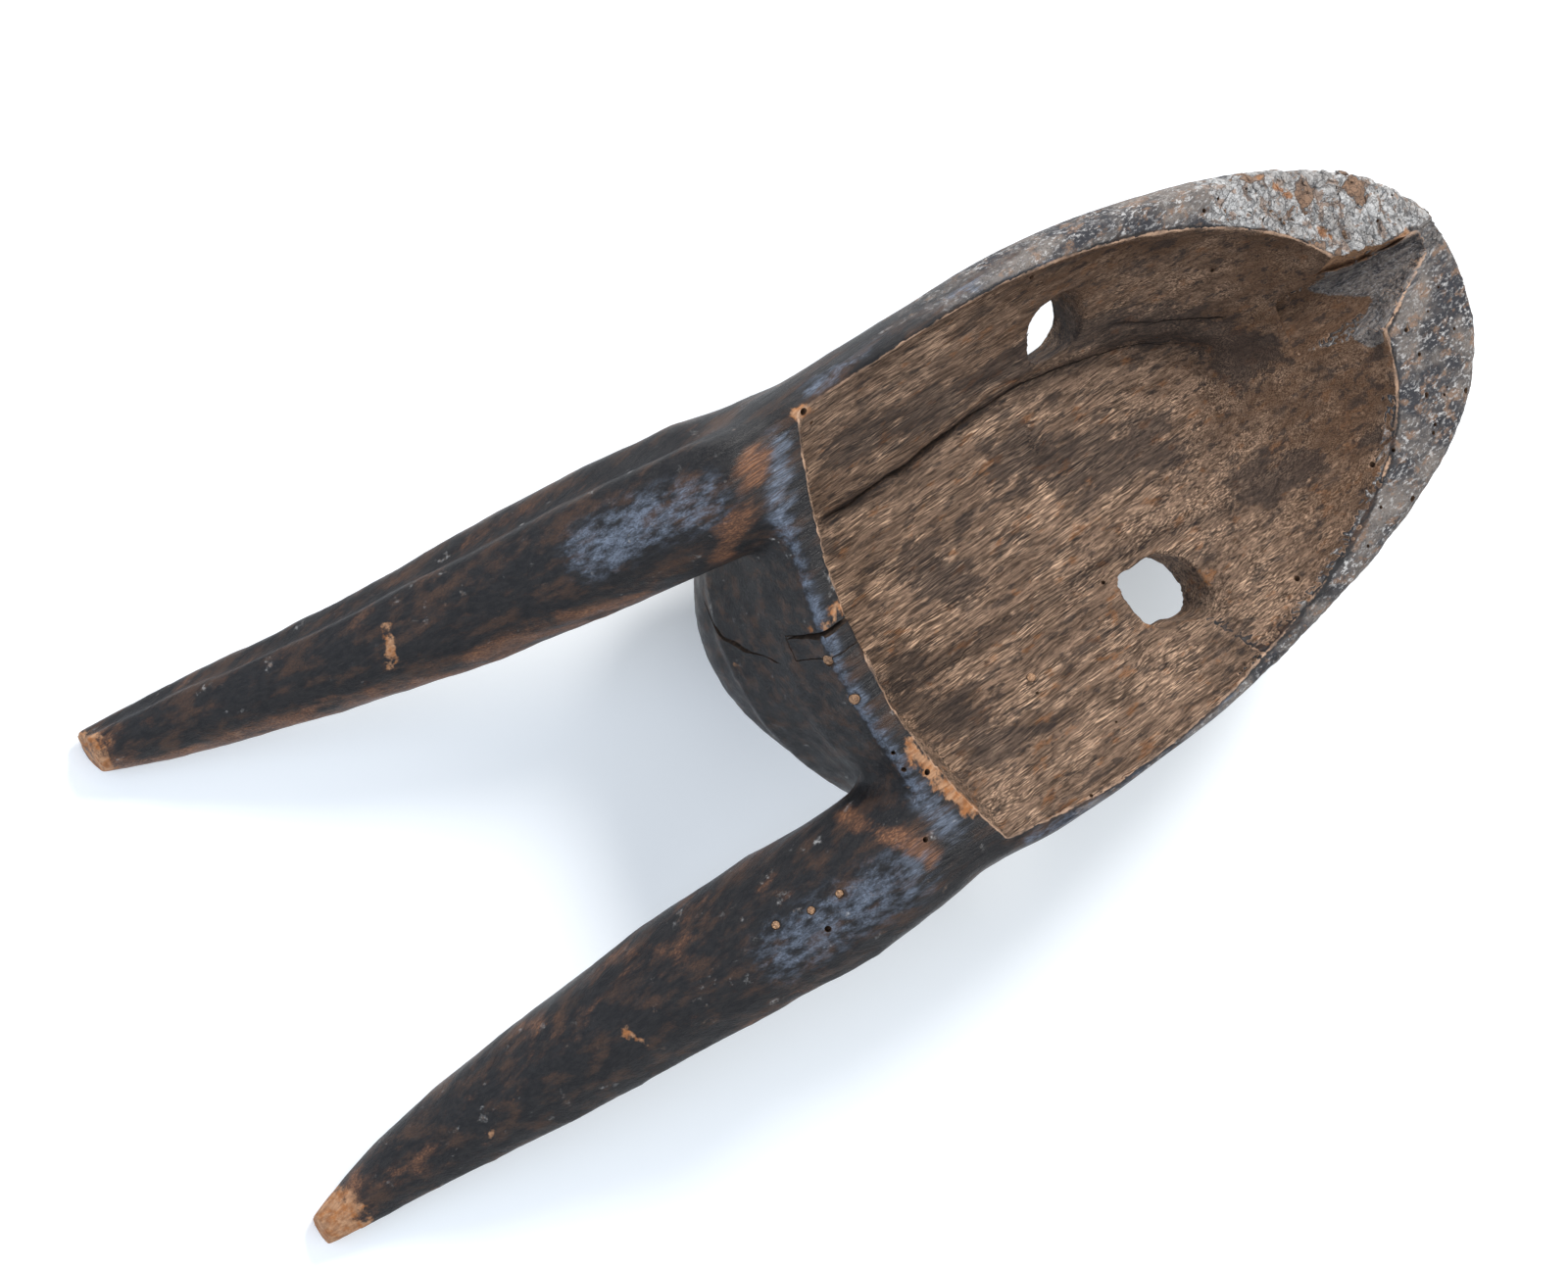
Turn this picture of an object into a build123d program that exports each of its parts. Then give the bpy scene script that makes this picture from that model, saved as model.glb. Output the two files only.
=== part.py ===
from build123d import *
import os

os.makedirs("parts", exist_ok=True)

# A carved wooden mask with two long horns, lying on its face with the hollow up.
# Millimetres. +X and -X are its two sides, +Y the chin, -Y the horns, +Z out of the hollow.
# The origin is the middle of the footprint, on the surface that the mask lies on.
# Heights in the tables are measured from the rim, and lengths from the forehead's rim corners.

# ---- driving dimensions ----
RIM_Z = 135.0           # height of the rim at the forehead corners above the resting surface
FOREHEAD_Y = -11.5      # place of the forehead's rim corners along Y
WIDEST_Y = 60.0         # where the mask is widest
SKEW = 2.5              # how far the +X side stands out more than the -X side
HOLLOW_HALF = 103.5     # half-width of the hollow at the rim
FLOOR_DROP = 47.0       # from the rim down to the creases beside the hollow's floor
FLOOR_HALF = 42.0       # half-width of the hollow's floor
FLOOR_SAG = 6.0         # how much deeper the middle of the floor is
TOP_SPARE = 30.0        # how far the cutting tools run past the wood

# Rim height along the mask, from behind the forehead to the chin: (along Y, over the rim).
RIM_LINE = ((-70, -3), (-20, -1), (0, 0), (50, 6), (150, 7), (250, 7), (300, 3), (350, -6))

# Eye holes: middle in X, middle along Y, size in X, size along Y.
EYES = ((64.0, 132.0, 27.0, 29.0), (-62.5, 137.0, 27.0, 27.0))
EYE_CORNER = 9.0

CORD_HOLES = ((99.0, 176.0), (-91.0, 176.0))
CORD_HOLE_R = 1.6
CORD_HOLE_DEPTH = 30.0

# The notch worn across the chin: place along Y, middle in X, half-width, depth under the rim.
NOTCH = ((238, -3, 24, 24), (270, -4, 19, 13), (306, -9, 7, 2))
NOTCH_RISE = 14.0

MOUTH_Y = 268.0
MOUTH_WIDTH = 38.0
MOUTH_GAP = 8.0
MOUTH_DROP = 82.0       # the mouth slot ends this far under the rim

# The loose block in the forehead rim, and the peg that holds it.
BLOCK_X = (-18.0, -6.5)
BLOCK_DROP = 26.0       # its lower edge under the rim
BLOCK_REACH = 60.0      # how far the cracks run back from the rim's corners
PEG_R = 2.6
PEG_LENGTH = 20.0
PLUG_R = 2.2
PLUG_LENGTH = 9.0
FLOOR_PLUG_R = 1.8
FLOOR_PLUG_LENGTH = 6.0
ROOT_PLUG_R = 1.7
ROOT_PLUG_LENGTH = 8.0

# Plan outlines from the rim down: height over the rim, corner in X, corner along Y,
# middle of the bowed forehead edge, half-width, chin end, fullness of the +X and -X chin.
SHELL = (
    (12, 101, -8, -30, HOLLOW_HALF + 3, 286, 2.7, 1.9),
    (2, 106, -10, -34, HOLLOW_HALF + 7.5, 316, 3.1, 1.95),
    (-10, 111, -12, -37, HOLLOW_HALF + 10, 323, 3.0, 1.75),
    (-22, 112, -13, -40, HOLLOW_HALF + 6, 319, 2.6, 1.65),
    (-37, 98, -14, -43, HOLLOW_HALF - 16, 300, 2.2, 1.7),
    (-54, 80, -14, -45, HOLLOW_HALF - 46, 268, 2.0, 1.8),
)
DOME = (
    (-18, 90, -4, -38, 92, 112, 2.0, 2.0),
    (-48, 88, -14, -44, 88, 104, 2.0, 2.0),
    (-72, 78, -18, -46, 78, 94, 2.0, 2.0),
    (-96, 60, -12, -43, 60, 84, 2.0, 2.0),
    (-114, 34, 4, -22, 38, 76, 2.0, 2.0),
)
MUZZLE = (
    (-48, 44, 10, 4, 52, 306, 2.2, 2.2),
    (-84, 31, 14, 8, 38, 290, 2.2, 2.2),
    (-112, 20, 34, 28, 28, 268, 2.2, 2.2),
    (-RIM_Z, 9, 104, 98, 13, 236, 2.2, 2.2),
)
HOLLOW = (
    (20, 104, 0, -24, HOLLOW_HALF + 5, 276, 2.6, 1.8),
    (0, 101.5, 0, -21, HOLLOW_HALF + 0.5, 263, 2.6, 1.8),
    (-FLOOR_DROP, FLOOR_HALF, 3, -13, FLOOR_HALF, 204, 1.9, 1.9),
    (-FLOOR_DROP - FLOOR_SAG, 14, 6, -8, 14, 168, 1.9, 1.9),
)
CHIN_SHARES = (0.0, 0.3, 0.55, 0.75, 0.9, 0.975)

# One horn: place along Y, middle in X, middle over the rim, half-width.
HORN_PLUS = (
    (16, 80, -24, 25),
    (-32, 87, -25, 32),
    (-86, 92, -46, 31),
    (-151, 96.5, -73, 27.5),
    (-203, 102, -94, 22.5),
    (-256, 109, -117, 15.5),
    (-284, 113, -124.5, 10.5),
    (-300, 115.5, -127.5, 6.5),
)
HORN_MINUS = (
    (16, 80, -24, 25),
    (-32, 85, -25, 30.5),
    (-86, 88.5, -46, 29),
    (-151, 92.5, -73, 24.5),
    (-203, 97.5, -94, 20),
    (-256, 104.5, -117, 14.5),
    (-287, 110, -125.5, 9.5),
)
HORN_FLATNESS = 0.94    # height of a horn's section against its width

# A horn's section: a round back, and a shallow flute between two ridges on the outer side.
HORN_SECTION = (
    (0.82, 0.66), (0.25, 0.90), (-0.45, 0.82), (-0.95, 0.25), (-0.85, -0.5),
    (-0.2, -0.97), (0.55, -0.8), (1.0, -0.1), (0.79, 0.26),
)


# ---- helpers ----
def chin_side(half, chin_y, fullness):
    """One side of an outline, from the widest place to just short of the chin's end."""
    points = []
    for share in CHIN_SHARES:
        x = half * (1 - share * share) ** (1 / fullness)
        points.append((x, FOREHEAD_Y + WIDEST_Y + share * (chin_y - WIDEST_Y)))
    return points


def plan_outline(over_rim, corner, corner_y, bow_y, half, chin_y, full_plus, full_minus):
    """A horizontal outline: a bowed forehead edge, long sides and a rounded chin."""
    y = FOREHEAD_Y + corner_y
    right = [(corner, y)] + chin_side(half + SKEW, chin_y, full_plus)
    left = [(-corner, y)] + [(-x, p) for x, p in chin_side(half - SKEW, chin_y, full_minus)]
    with BuildSketch(Plane.XY.offset(RIM_Z + over_rim)) as outline:
        with BuildLine():
            Spline(*right, (0, FOREHEAD_Y + chin_y), *reversed(left))
            ThreePointArc((-corner, y), (0, FOREHEAD_Y + bow_y), (corner, y))
        make_face()
    return outline.sketch


def stack(levels, ruled=False):
    """A solid lofted through horizontal outlines."""
    with BuildPart() as piece:
        loft([plan_outline(*level) for level in levels], ruled=ruled)
    return piece.part


def horn_outline(side, along, middle_x, over_rim, half):
    """The closed outline of a horn at one place along it; side is 1 or -1."""
    points = []
    for u, v in HORN_SECTION:
        x = side * (middle_x + u * half)
        points.append((x, RIM_Z + over_rim + v * half * HORN_FLATNESS))
    place = Plane((0, FOREHEAD_Y + along, 0), x_dir=(1, 0, 0), z_dir=(0, -1, 0))
    with BuildSketch(place) as outline:
        with BuildLine():
            Spline(*points, periodic=True)
        make_face()
    return outline.sketch


def horn(side, stations):
    """One tapering horn, from inside the forehead out to its blunt tip."""
    with BuildPart() as piece:
        loft([horn_outline(side, *station) for station in stations])
    return piece.part


def round_bar(place, radius, length):
    """A round bar that starts at a place and runs along its axis."""
    with BuildPart(place) as piece:
        Cylinder(radius, length, align=(Align.CENTER, Align.CENTER, Align.MIN))
    return piece.part


def spot(x, along, over_rim):
    """A point given from the forehead's rim corners."""
    return (x, FOREHEAD_Y + along, RIM_Z + over_rim)


# ---- cutting tools that several pieces share ----
with BuildPart() as above_rim:
    # Everything over the rim's gently rising line.
    with BuildSketch(Plane.YZ):
        with BuildLine():
            rim_points = [(FOREHEAD_Y + y, RIM_Z + z) for y, z in RIM_LINE]
            Spline(*rim_points)
            (y0, z0), (y1, z1) = rim_points[0], rim_points[-1]
            Polyline((y1, z1), (y1, RIM_Z + TOP_SPARE), (y0, RIM_Z + TOP_SPARE), (y0, z0))
        make_face()
    extrude(amount=2 * HOLLOW_HALF, both=True)

with BuildPart() as notch_tool:
    # A three-cornered trough that narrows and rises towards the chin's end.
    for along, middle, half, depth in NOTCH:
        with BuildSketch(Plane((0, FOREHEAD_Y + along, 0), x_dir=(1, 0, 0), z_dir=(0, -1, 0))):
            with BuildLine():
                top = RIM_Z + NOTCH_RISE
                Polyline(
                    (middle - half, top), (middle - half * 0.55, RIM_Z - depth),
                    (middle + half * 0.55, RIM_Z - depth), (middle + half, top), close=True,
                )
            make_face()
    loft(ruled=True)

# The peg and plugs point out of the wood: start inside it, axis outwards.
FOREHEAD_OUT = (0, -0.8, 0.6)
PEG_PLACE = Plane(spot(-6.0, -20.5, -17.0), z_dir=FOREHEAD_OUT)
RIM_PLUG_PLACE = Plane(spot(13.3, -25.0, -9.5), z_dir=FOREHEAD_OUT)
FLOOR_PLUG_PLACE = Plane(spot(64.5, 60.0, -35.5), z_dir=(-0.55, 0, 0.835))
ROOT_PLUG_PLACES = [
    Plane(spot(x, along, over_rim), z_dir=(-0.1, -0.45, 0.89))
    for x, along, over_rim in ((83.6, -70.8, -19.3), (84.6, -82.8, -25.3), (83.6, -96.8, -32.3))
]
peg_tool = round_bar(PEG_PLACE, PEG_R, PEG_LENGTH)
rim_plug_tool = round_bar(RIM_PLUG_PLACE, PLUG_R, PLUG_LENGTH)
floor_plug_tool = round_bar(FLOOR_PLUG_PLACE, FLOOR_PLUG_R, FLOOR_PLUG_LENGTH)
root_plug_tools = [round_bar(p, ROOT_PLUG_R, ROOT_PLUG_LENGTH) for p in ROOT_PLUG_PLACES]

with BuildPart() as block_tool:
    # The piece of the forehead rim between two cracks, from the outside through to the hollow.
    x0, x1 = BLOCK_X
    with Locations(((x0 + x1) / 2, FOREHEAD_Y, RIM_Z - BLOCK_DROP)):
        Box(x1 - x0, BLOCK_REACH, BLOCK_DROP + TOP_SPARE, align=(Align.CENTER, Align.MAX, Align.MIN))


# ---- the whole block of wood before it is split by cracks and pegged ----
with BuildPart() as wood:
    add(stack(SHELL))
    add(stack(DOME))
    add(stack(MUZZLE))
    add(horn(1, HORN_PLUS))
    add(horn(-1, HORN_MINUS))
    add(above_rim.part, mode=Mode.SUBTRACT)
    add(stack(HOLLOW, ruled=True), mode=Mode.SUBTRACT)
    add(notch_tool.part, mode=Mode.SUBTRACT)
    for x, along, width, length in EYES:
        with BuildSketch(Plane.XY):
            with Locations((x, FOREHEAD_Y + along)):
                RectangleRounded(width, length, EYE_CORNER)
        extrude(amount=RIM_Z + TOP_SPARE, mode=Mode.SUBTRACT)
    with BuildSketch(Plane.XY):
        with Locations((0, FOREHEAD_Y + MOUTH_Y)):
            RectangleRounded(MOUTH_WIDTH, MOUTH_GAP, MOUTH_GAP * 0.45)
    extrude(amount=RIM_Z - MOUTH_DROP, mode=Mode.SUBTRACT)
    for x, along in CORD_HOLES:
        with Locations(spot(x, along, TOP_SPARE)):
            Hole(CORD_HOLE_R, depth=TOP_SPARE + CORD_HOLE_DEPTH)


# ---- pieces ----
with BuildPart() as carved_body:
    add(wood.part)
    add(block_tool.part, mode=Mode.SUBTRACT)
    for tool in (peg_tool, rim_plug_tool, floor_plug_tool, *root_plug_tools):
        add(tool, mode=Mode.SUBTRACT)
carved_body.part.label = "carved_body"

with BuildPart() as rim_block:
    add(wood.part)
    add(block_tool.part, mode=Mode.INTERSECT)
    add(peg_tool, mode=Mode.SUBTRACT)
rim_block.part.label = "rim_block"

with BuildPart() as block_peg:
    add(wood.part)
    add(peg_tool, mode=Mode.INTERSECT)
block_peg.part.label = "block_peg"

with BuildPart() as rim_plug:
    add(wood.part)
    add(rim_plug_tool, mode=Mode.INTERSECT)
rim_plug.part.label = "rim_plug"

with BuildPart() as floor_plug:
    add(wood.part)
    add(floor_plug_tool, mode=Mode.INTERSECT)
floor_plug.part.label = "floor_plug"

with BuildPart() as horn_root_plugs:
    for tool in root_plug_tools:
        add(tool & wood.part)
horn_root_plugs.part.label = "horn_root_plugs"

for piece in (carved_body, rim_block, block_peg, rim_plug, floor_plug, horn_root_plugs):
    part = piece.part
    export_step(part, f"parts/{part.label}.step")
    print(part.label, len(part.solids()), round(part.volume), part.bounding_box())
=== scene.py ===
# %% [markdown]
# # A carved horned mask
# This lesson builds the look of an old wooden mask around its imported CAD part. The mask lies on
# its face with the hollow up, and its two long horns run back from the forehead. Everything is in
# metres, and the places in the lists are in millimetres, because that is how a carver measures.
# The CAD part gives the size, so the first step is to load it and to keep its box.

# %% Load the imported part
import itertools
import math

import bmesh
import bpy
import numpy as np
from mathutils import Matrix, Vector
from mathutils.bvhtree import BVHTree


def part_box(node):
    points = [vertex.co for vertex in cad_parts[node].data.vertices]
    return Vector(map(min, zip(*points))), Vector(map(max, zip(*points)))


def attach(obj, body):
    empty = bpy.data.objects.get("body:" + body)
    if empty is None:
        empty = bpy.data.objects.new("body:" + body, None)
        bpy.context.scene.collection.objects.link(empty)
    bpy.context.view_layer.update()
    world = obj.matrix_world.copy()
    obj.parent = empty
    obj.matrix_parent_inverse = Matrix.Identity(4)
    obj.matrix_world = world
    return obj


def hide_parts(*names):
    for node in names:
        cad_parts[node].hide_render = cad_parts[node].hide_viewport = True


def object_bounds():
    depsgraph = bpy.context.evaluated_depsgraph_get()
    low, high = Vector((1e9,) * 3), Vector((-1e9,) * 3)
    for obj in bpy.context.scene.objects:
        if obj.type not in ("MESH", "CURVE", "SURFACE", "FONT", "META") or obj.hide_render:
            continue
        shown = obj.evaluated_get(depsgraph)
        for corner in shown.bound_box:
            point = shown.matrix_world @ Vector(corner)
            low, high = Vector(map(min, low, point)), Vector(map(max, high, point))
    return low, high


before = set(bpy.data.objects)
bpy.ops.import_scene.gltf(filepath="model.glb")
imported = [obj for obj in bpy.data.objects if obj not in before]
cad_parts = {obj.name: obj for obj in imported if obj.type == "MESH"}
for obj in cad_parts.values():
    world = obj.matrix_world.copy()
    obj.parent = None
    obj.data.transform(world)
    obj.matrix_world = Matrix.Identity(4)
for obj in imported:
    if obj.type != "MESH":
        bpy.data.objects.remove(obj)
cad_low, cad_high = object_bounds()
MM = 0.001
print("CAD box in mm", [round(x / MM) for x in cad_low], [round(x / MM) for x in cad_high])

# %% [markdown]
# ## Floor, light and camera
# A pale table fills the view, so that the dark wood stands out by its outline. A soft window light
# hangs beyond the chin on the left and gives the shadows. A cool, weaker one beyond the horn tips
# lies along the horns as a sheen, and a wide fill keeps the hollow readable. The camera is a long
# lens high above the horn tips.

# %% Floor and world
FLOOR_HALF_SIZE = 6.0
FLOOR_COLOUR = (0.93, 0.955, 0.98, 1)
FLOOR_GLOW = 0.12
ROOM_COLOUR = (0.93, 0.97, 1.0, 1)
ROOM_LIGHT = 0.72


def flat_square(name, half, height):
    """A square in the floor's plane."""
    mesh = bpy.data.meshes.new(name)
    corners = [(-half, -half, height), (half, -half, height), (half, half, height), (-half, half, height)]
    mesh.from_pydata(corners, [], [(0, 1, 2, 3)])
    piece = bpy.data.objects.new(name, mesh)
    bpy.context.scene.collection.objects.link(piece)
    return piece


floor = flat_square("table", FLOOR_HALF_SIZE, 0.0)
floor_paint = bpy.data.materials.new("pale table")
floor_paint.use_nodes = True
floor_shader = floor_paint.node_tree.nodes["Principled BSDF"]
floor_shader.inputs["Base Color"].default_value = FLOOR_COLOUR
floor_shader.inputs["Roughness"].default_value = 0.85
floor_shader.inputs["Emission Color"].default_value = (1.0, 1.0, 1.0, 1)
floor_shader.inputs["Emission Strength"].default_value = FLOOR_GLOW
floor.data.materials.append(floor_paint)

world = bpy.data.worlds.new("bright room")
world.use_nodes = True
world.node_tree.nodes["Background"].inputs["Color"].default_value = ROOM_COLOUR
world.node_tree.nodes["Background"].inputs["Strength"].default_value = ROOM_LIGHT
bpy.context.scene.world = world
bpy.context.scene.view_settings.view_transform = "Standard"
print("table", 2 * FLOOR_HALF_SIZE, "m across; room light", ROOM_LIGHT)

# %% Lamps
# Name, place, size across, power in watts, colour. Every lamp points at the middle of the mask.
LAMPS = (
    ("window", (-1.5, 1.3, 1.9), 0.9, 70.0, (1.0, 0.98, 0.95)),
    ("sky", (-0.9, -1.5, 1.5), 1.2, 17.0, (0.66, 0.80, 1.0)),
    ("fill", (1.8, -0.6, 1.4), 2.0, 7.0, (0.95, 0.97, 1.0)),
)
AIM = Vector((0.0, 0.0, 0.08))
for name, place, across, power, colour in LAMPS:
    lamp = bpy.data.lights.new(name, "AREA")
    lamp.shape = "DISK"
    lamp.size = across
    lamp.energy = power
    lamp.color = colour
    holder = bpy.data.objects.new(name, lamp)
    holder.location = place
    holder.rotation_euler = (AIM - Vector(place)).to_track_quat("-Z", "Y").to_euler()
    bpy.context.scene.collection.objects.link(holder)
print("lamps:", [lamp[0] for lamp in LAMPS])

# %% Camera
CAMERA_PLACE = Vector((-0.6292, -0.8580, 1.8186))
CAMERA_BACK = Vector((-0.307, -0.407, 0.860)).normalized()
CAMERA_RIGHT = Vector((0.428, 0.749, 0.506))
CAMERA_RIGHT = (CAMERA_RIGHT - CAMERA_BACK * CAMERA_RIGHT.dot(CAMERA_BACK)).normalized()
CAMERA_LENS = 112.0
camera = bpy.data.objects.new("camera", bpy.data.cameras.new("camera"))
camera.data.lens = CAMERA_LENS
camera.data.sensor_width = 36.0
turn = Matrix((CAMERA_RIGHT, CAMERA_BACK.cross(CAMERA_RIGHT), CAMERA_BACK)).transposed()
camera.matrix_world = Matrix.Translation(CAMERA_PLACE) @ turn.to_4x4()
bpy.context.scene.collection.objects.link(camera)
bpy.context.scene.camera = camera
print("camera", round(CAMERA_PLACE.length, 2), "m from the middle of the table, lens", CAMERA_LENS, "mm")

# %% [markdown]
# ## Random fields that are the same each time
# Hand work is never even. Three small functions give that unevenness as numbers that depend only
# on the place, so each run carves the same mask: a hash of whole numbers, soft lumps made from it,
# and scoops. A scoop is the hollow that one cut of a curved adze leaves, and where two scoops meet
# there is a low ridge.

# %% Lumps and scoops


def whole_noise(cell, seed):
    """A repeatable value from 0 to 1 for each whole-number place (rows of three)."""
    mixed = cell[:, 0] * 73856093 ^ cell[:, 1] * 19349663 ^ cell[:, 2] * 83492791 ^ seed * 49979687
    mixed = (mixed ^ (mixed >> 13)) * 1274126177 & 0x7FFFFFFFFFFF
    mixed = (mixed ^ (mixed >> 17)) * 668265263 & 0x7FFFFFFFFFFF
    return ((mixed ^ (mixed >> 16)) & 0xFFFFFF) / 0xFFFFFF


def lumps(points, size, seed):
    """Soft swells from -1 to 1; size is how far apart they are, in all or in each direction."""
    place = points / np.asarray(size, float)
    base = np.floor(place).astype(np.int64)
    part = place - base
    part = part * part * (3 - 2 * part)
    total = np.zeros(len(points))
    for corner in itertools.product((0, 1), repeat=3):
        corner = np.array(corner)
        share = np.where(corner == 1, part, 1 - part).prod(axis=1)
        total += share * whole_noise(base + corner, seed)
    return 2 * total - 1


def rough(points, size, seed, layers=3):
    """Lumps on lumps, each layer half as large and half as high."""
    size = np.asarray(size, float)
    return sum(lumps(points, size / 2**i, seed + i) / 2**i for i in range(layers))


def scoops(points, size, seed):
    """Shallow hollow cuts side by side, 0 at the deepest, and how far each point is from a ridge."""
    place = points / np.asarray(size, float)
    base = np.floor(place).astype(np.int64)
    lowest = np.full(len(points), 9.0)
    second = np.full(len(points), 9.0)
    for step in itertools.product((-1, 0, 1), repeat=3):
        cell = base + np.array(step)
        shift = np.stack([whole_noise(cell, seed + i) for i in range(3)], axis=1)
        bowl = ((place - cell - shift) ** 2).sum(axis=1) + 0.3 * whole_noise(cell, seed + 3)
        second = np.minimum(second, np.maximum(bowl, lowest))
        lowest = np.minimum(bowl, lowest)
    return lowest, np.sqrt(second) - np.sqrt(lowest)


def step_between(value, low, high):
    """0 below low, 1 above high, and smooth between."""
    share = np.clip((value - low) / (high - low), 0, 1)
    return share * share * (3 - 2 * share)


print("random fields ready")

# %% [markdown]
# ## The block of wood
# The real mask and both horns are one block. The CAD nodes are joined again as the uncracked block
# and given an even skin of small faces with a voxel remesh, because even faces carve like clay.
# The CAD nodes themselves are never touched: the remesh works on a merged copy.

# %% Merge and remesh
VOXEL = 1.4 * MM
SAME_POINT = 0.002 * MM


def new_object(name, mesh):
    """A linked object at the origin around a mesh."""
    piece = bpy.data.objects.new(name, mesh)
    bpy.context.scene.collection.objects.link(piece)
    return piece


def flattened(piece, name):
    """The piece with its modifiers worked into a plain mesh; the old object goes."""
    bpy.context.view_layer.update()
    graph = bpy.context.evaluated_depsgraph_get()
    mesh = bpy.data.meshes.new_from_object(piece.evaluated_get(graph))
    mesh.name = name
    bpy.data.objects.remove(piece)
    return new_object(name, mesh)


def merged_copy(name, nodes):
    """One mesh from several CAD nodes, with their loose triangles joined."""
    work = bmesh.new()
    for node in nodes:
        work.from_mesh(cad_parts[node].data)
    bmesh.ops.remove_doubles(work, verts=work.verts, dist=SAME_POINT)
    mesh = bpy.data.meshes.new(name)
    work.to_mesh(mesh)
    work.free()
    return new_object(name, mesh)


def points_of(piece):
    """The places of a mesh's points, in millimetres."""
    flat = np.empty(len(piece.data.vertices) * 3)
    piece.data.vertices.foreach_get("co", flat)
    return flat.reshape(-1, 3) / MM


def normals_of(piece):
    """The outward directions at a mesh's points."""
    flat = np.empty(len(piece.data.vertices) * 3)
    piece.data.vertices.foreach_get("normal", flat)
    return flat.reshape(-1, 3)


def set_points(piece, points):
    """Moves a mesh's points to places given in millimetres."""
    piece.data.vertices.foreach_set("co", (points * MM).ravel())
    piece.data.update()


block = merged_copy("block", sorted(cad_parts))
rim_source = merged_copy("rim source", ["carved_body"])
skin = block.modifiers.new("skin", "REMESH")
skin.mode = "VOXEL"
skin.voxel_size = VOXEL
block = flattened(block, "block")
print("block of wood:", len(block.data.vertices), "points")

# %% [markdown]
# ## Finding the hollow's rim
# Nearly every finish changes at the rim: raw brown wood inside, dark handled wood outside, and a
# thin pale line where the edge has rubbed. So the rim is found once, as the CAD edges between the
# flat top and the hollow's wall. Each point then gets its distance to that line, counted positive
# inside the hollow. A distance blends evenly between points, so a material can cut it sharply.

# %% The rim line and the distance to it
SHARP_RIM = math.radians(25)
TOP_FACING = 0.8
WALLS_LOOK_AT = 110.0   # the place on the middle line that the hollow's walls face
RIM_LOWEST = 100.0
RIM_FRONT = -33.5       # the hollow ends here, at the forehead
# Bores that open on the rim: their edges aren't part of it.
RIM_BORES = ((99.0, 164.5), (-91.0, 164.5), (-6.0, -32.0), (13.3, -36.5), (64.5, 48.5))
BORE_CLEAR = 4.5


def rim_points_of(piece):
    """Points, 1 mm apart, along the edges where the top meets the hollow's wall."""
    work = bmesh.new()
    work.from_mesh(piece.data)
    found = []
    for edge in work.edges:
        if len(edge.link_faces) != 2 or edge.calc_face_angle(0) < SHARP_RIM:
            continue
        faces = sorted(edge.link_faces, key=lambda face: face.normal.z)
        middle = (edge.verts[0].co + edge.verts[1].co) / 2 / MM
        inward = Vector((-middle.x, WALLS_LOOK_AT - middle.y, 0))
        if faces[1].normal.z < TOP_FACING or faces[0].normal.dot(inward) < 0 or middle.z < RIM_LOWEST:
            continue
        near_bore = min(math.hypot(middle.x - x, middle.y - y) for x, y in RIM_BORES) < BORE_CLEAR
        if near_bore or middle.y < RIM_FRONT:
            continue
        steps = max(2, int(edge.calc_length() / MM) + 1)
        ends = [np.array(v.co) / MM for v in edge.verts]
        found += [ends[0] + (ends[1] - ends[0]) * i / steps for i in range(steps + 1)]
    work.free()
    return np.array(found)


rim = rim_points_of(rim_source)
bpy.data.objects.remove(rim_source)
HOLLOW_MIDDLE = np.array((0.0, 100.0))
rim_turn = np.arctan2(rim[:, 1] - HOLLOW_MIDDLE[1], rim[:, 0] - HOLLOW_MIDDLE[0])
rim_reach = np.hypot(rim[:, 0] - HOLLOW_MIDDLE[0], rim[:, 1] - HOLLOW_MIDDLE[1])
order = np.argsort(rim_turn)
rim_turn, rim_reach, rim = rim_turn[order], rim_reach[order], rim[order]
UNDERCUT = 14.0         # how far the wall may lean out under the rim
HOLLOW_LOWEST = 78.0
AT_ONCE = 4000          # points measured against the whole rim in one go
print("rim points", len(rim), "reach", rim_reach.min().round(), rim_reach.max().round())


def rim_gap(points, normals):
    """Distance to the rim line in mm, positive inside the hollow and negative outside it."""
    away = points[:, :2] - HOLLOW_MIDDLE
    turn, reach = np.arctan2(away[:, 1], away[:, 0]), np.hypot(away[:, 0], away[:, 1])
    edge = np.interp(turn, rim_turn, rim_reach, period=2 * math.pi)
    edge_height = np.interp(turn, rim_turn, rim[:, 2], period=2 * math.pi)
    facing_in = -(normals[:, :2] * away).sum(1) / np.maximum(reach, 1)
    nearest = np.empty(len(points))
    for start in range(0, len(points), AT_ONCE):
        part = points[start:start + AT_ONCE]
        square = (part**2).sum(1)[:, None] + (rim**2).sum(1)[None, :] - 2 * part @ rim.T
        nearest[start:start + AT_ONCE] = np.sqrt(np.maximum(square.min(1), 0))
    level = (reach < edge) & (normals[:, 2] > -0.3)
    under = (reach < edge + UNDERCUT) & (facing_in > 0.3) & (points[:, 2] < edge_height - 0.6)
    within = (level | under) & (points[:, 2] > HOLLOW_LOWEST) & (points[:, 1] > RIM_FRONT)
    return np.where(within, nearest, -nearest)


# %% [markdown]
# ## Carving
# The even skin is now worked in the order a carver works: hard CAD edges are eased, the horn roots
# are blended into the forehead, and then shallow adze cuts are laid over everything, long along the
# horns and shorter in the hollow. `relax` moves each point towards the mean of its neighbours,
# which is what rubbing down a ridge does.

# %% Ease the edges and blend the horn roots
HORN_ROOTS = ((78.0, -50.0, 112.0), (-78.0, -50.0, 112.0), (66.0, -58.0, 84.0), (-66.0, -56.0, 84.0))
ROOT_BLEND = 34.0
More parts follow.
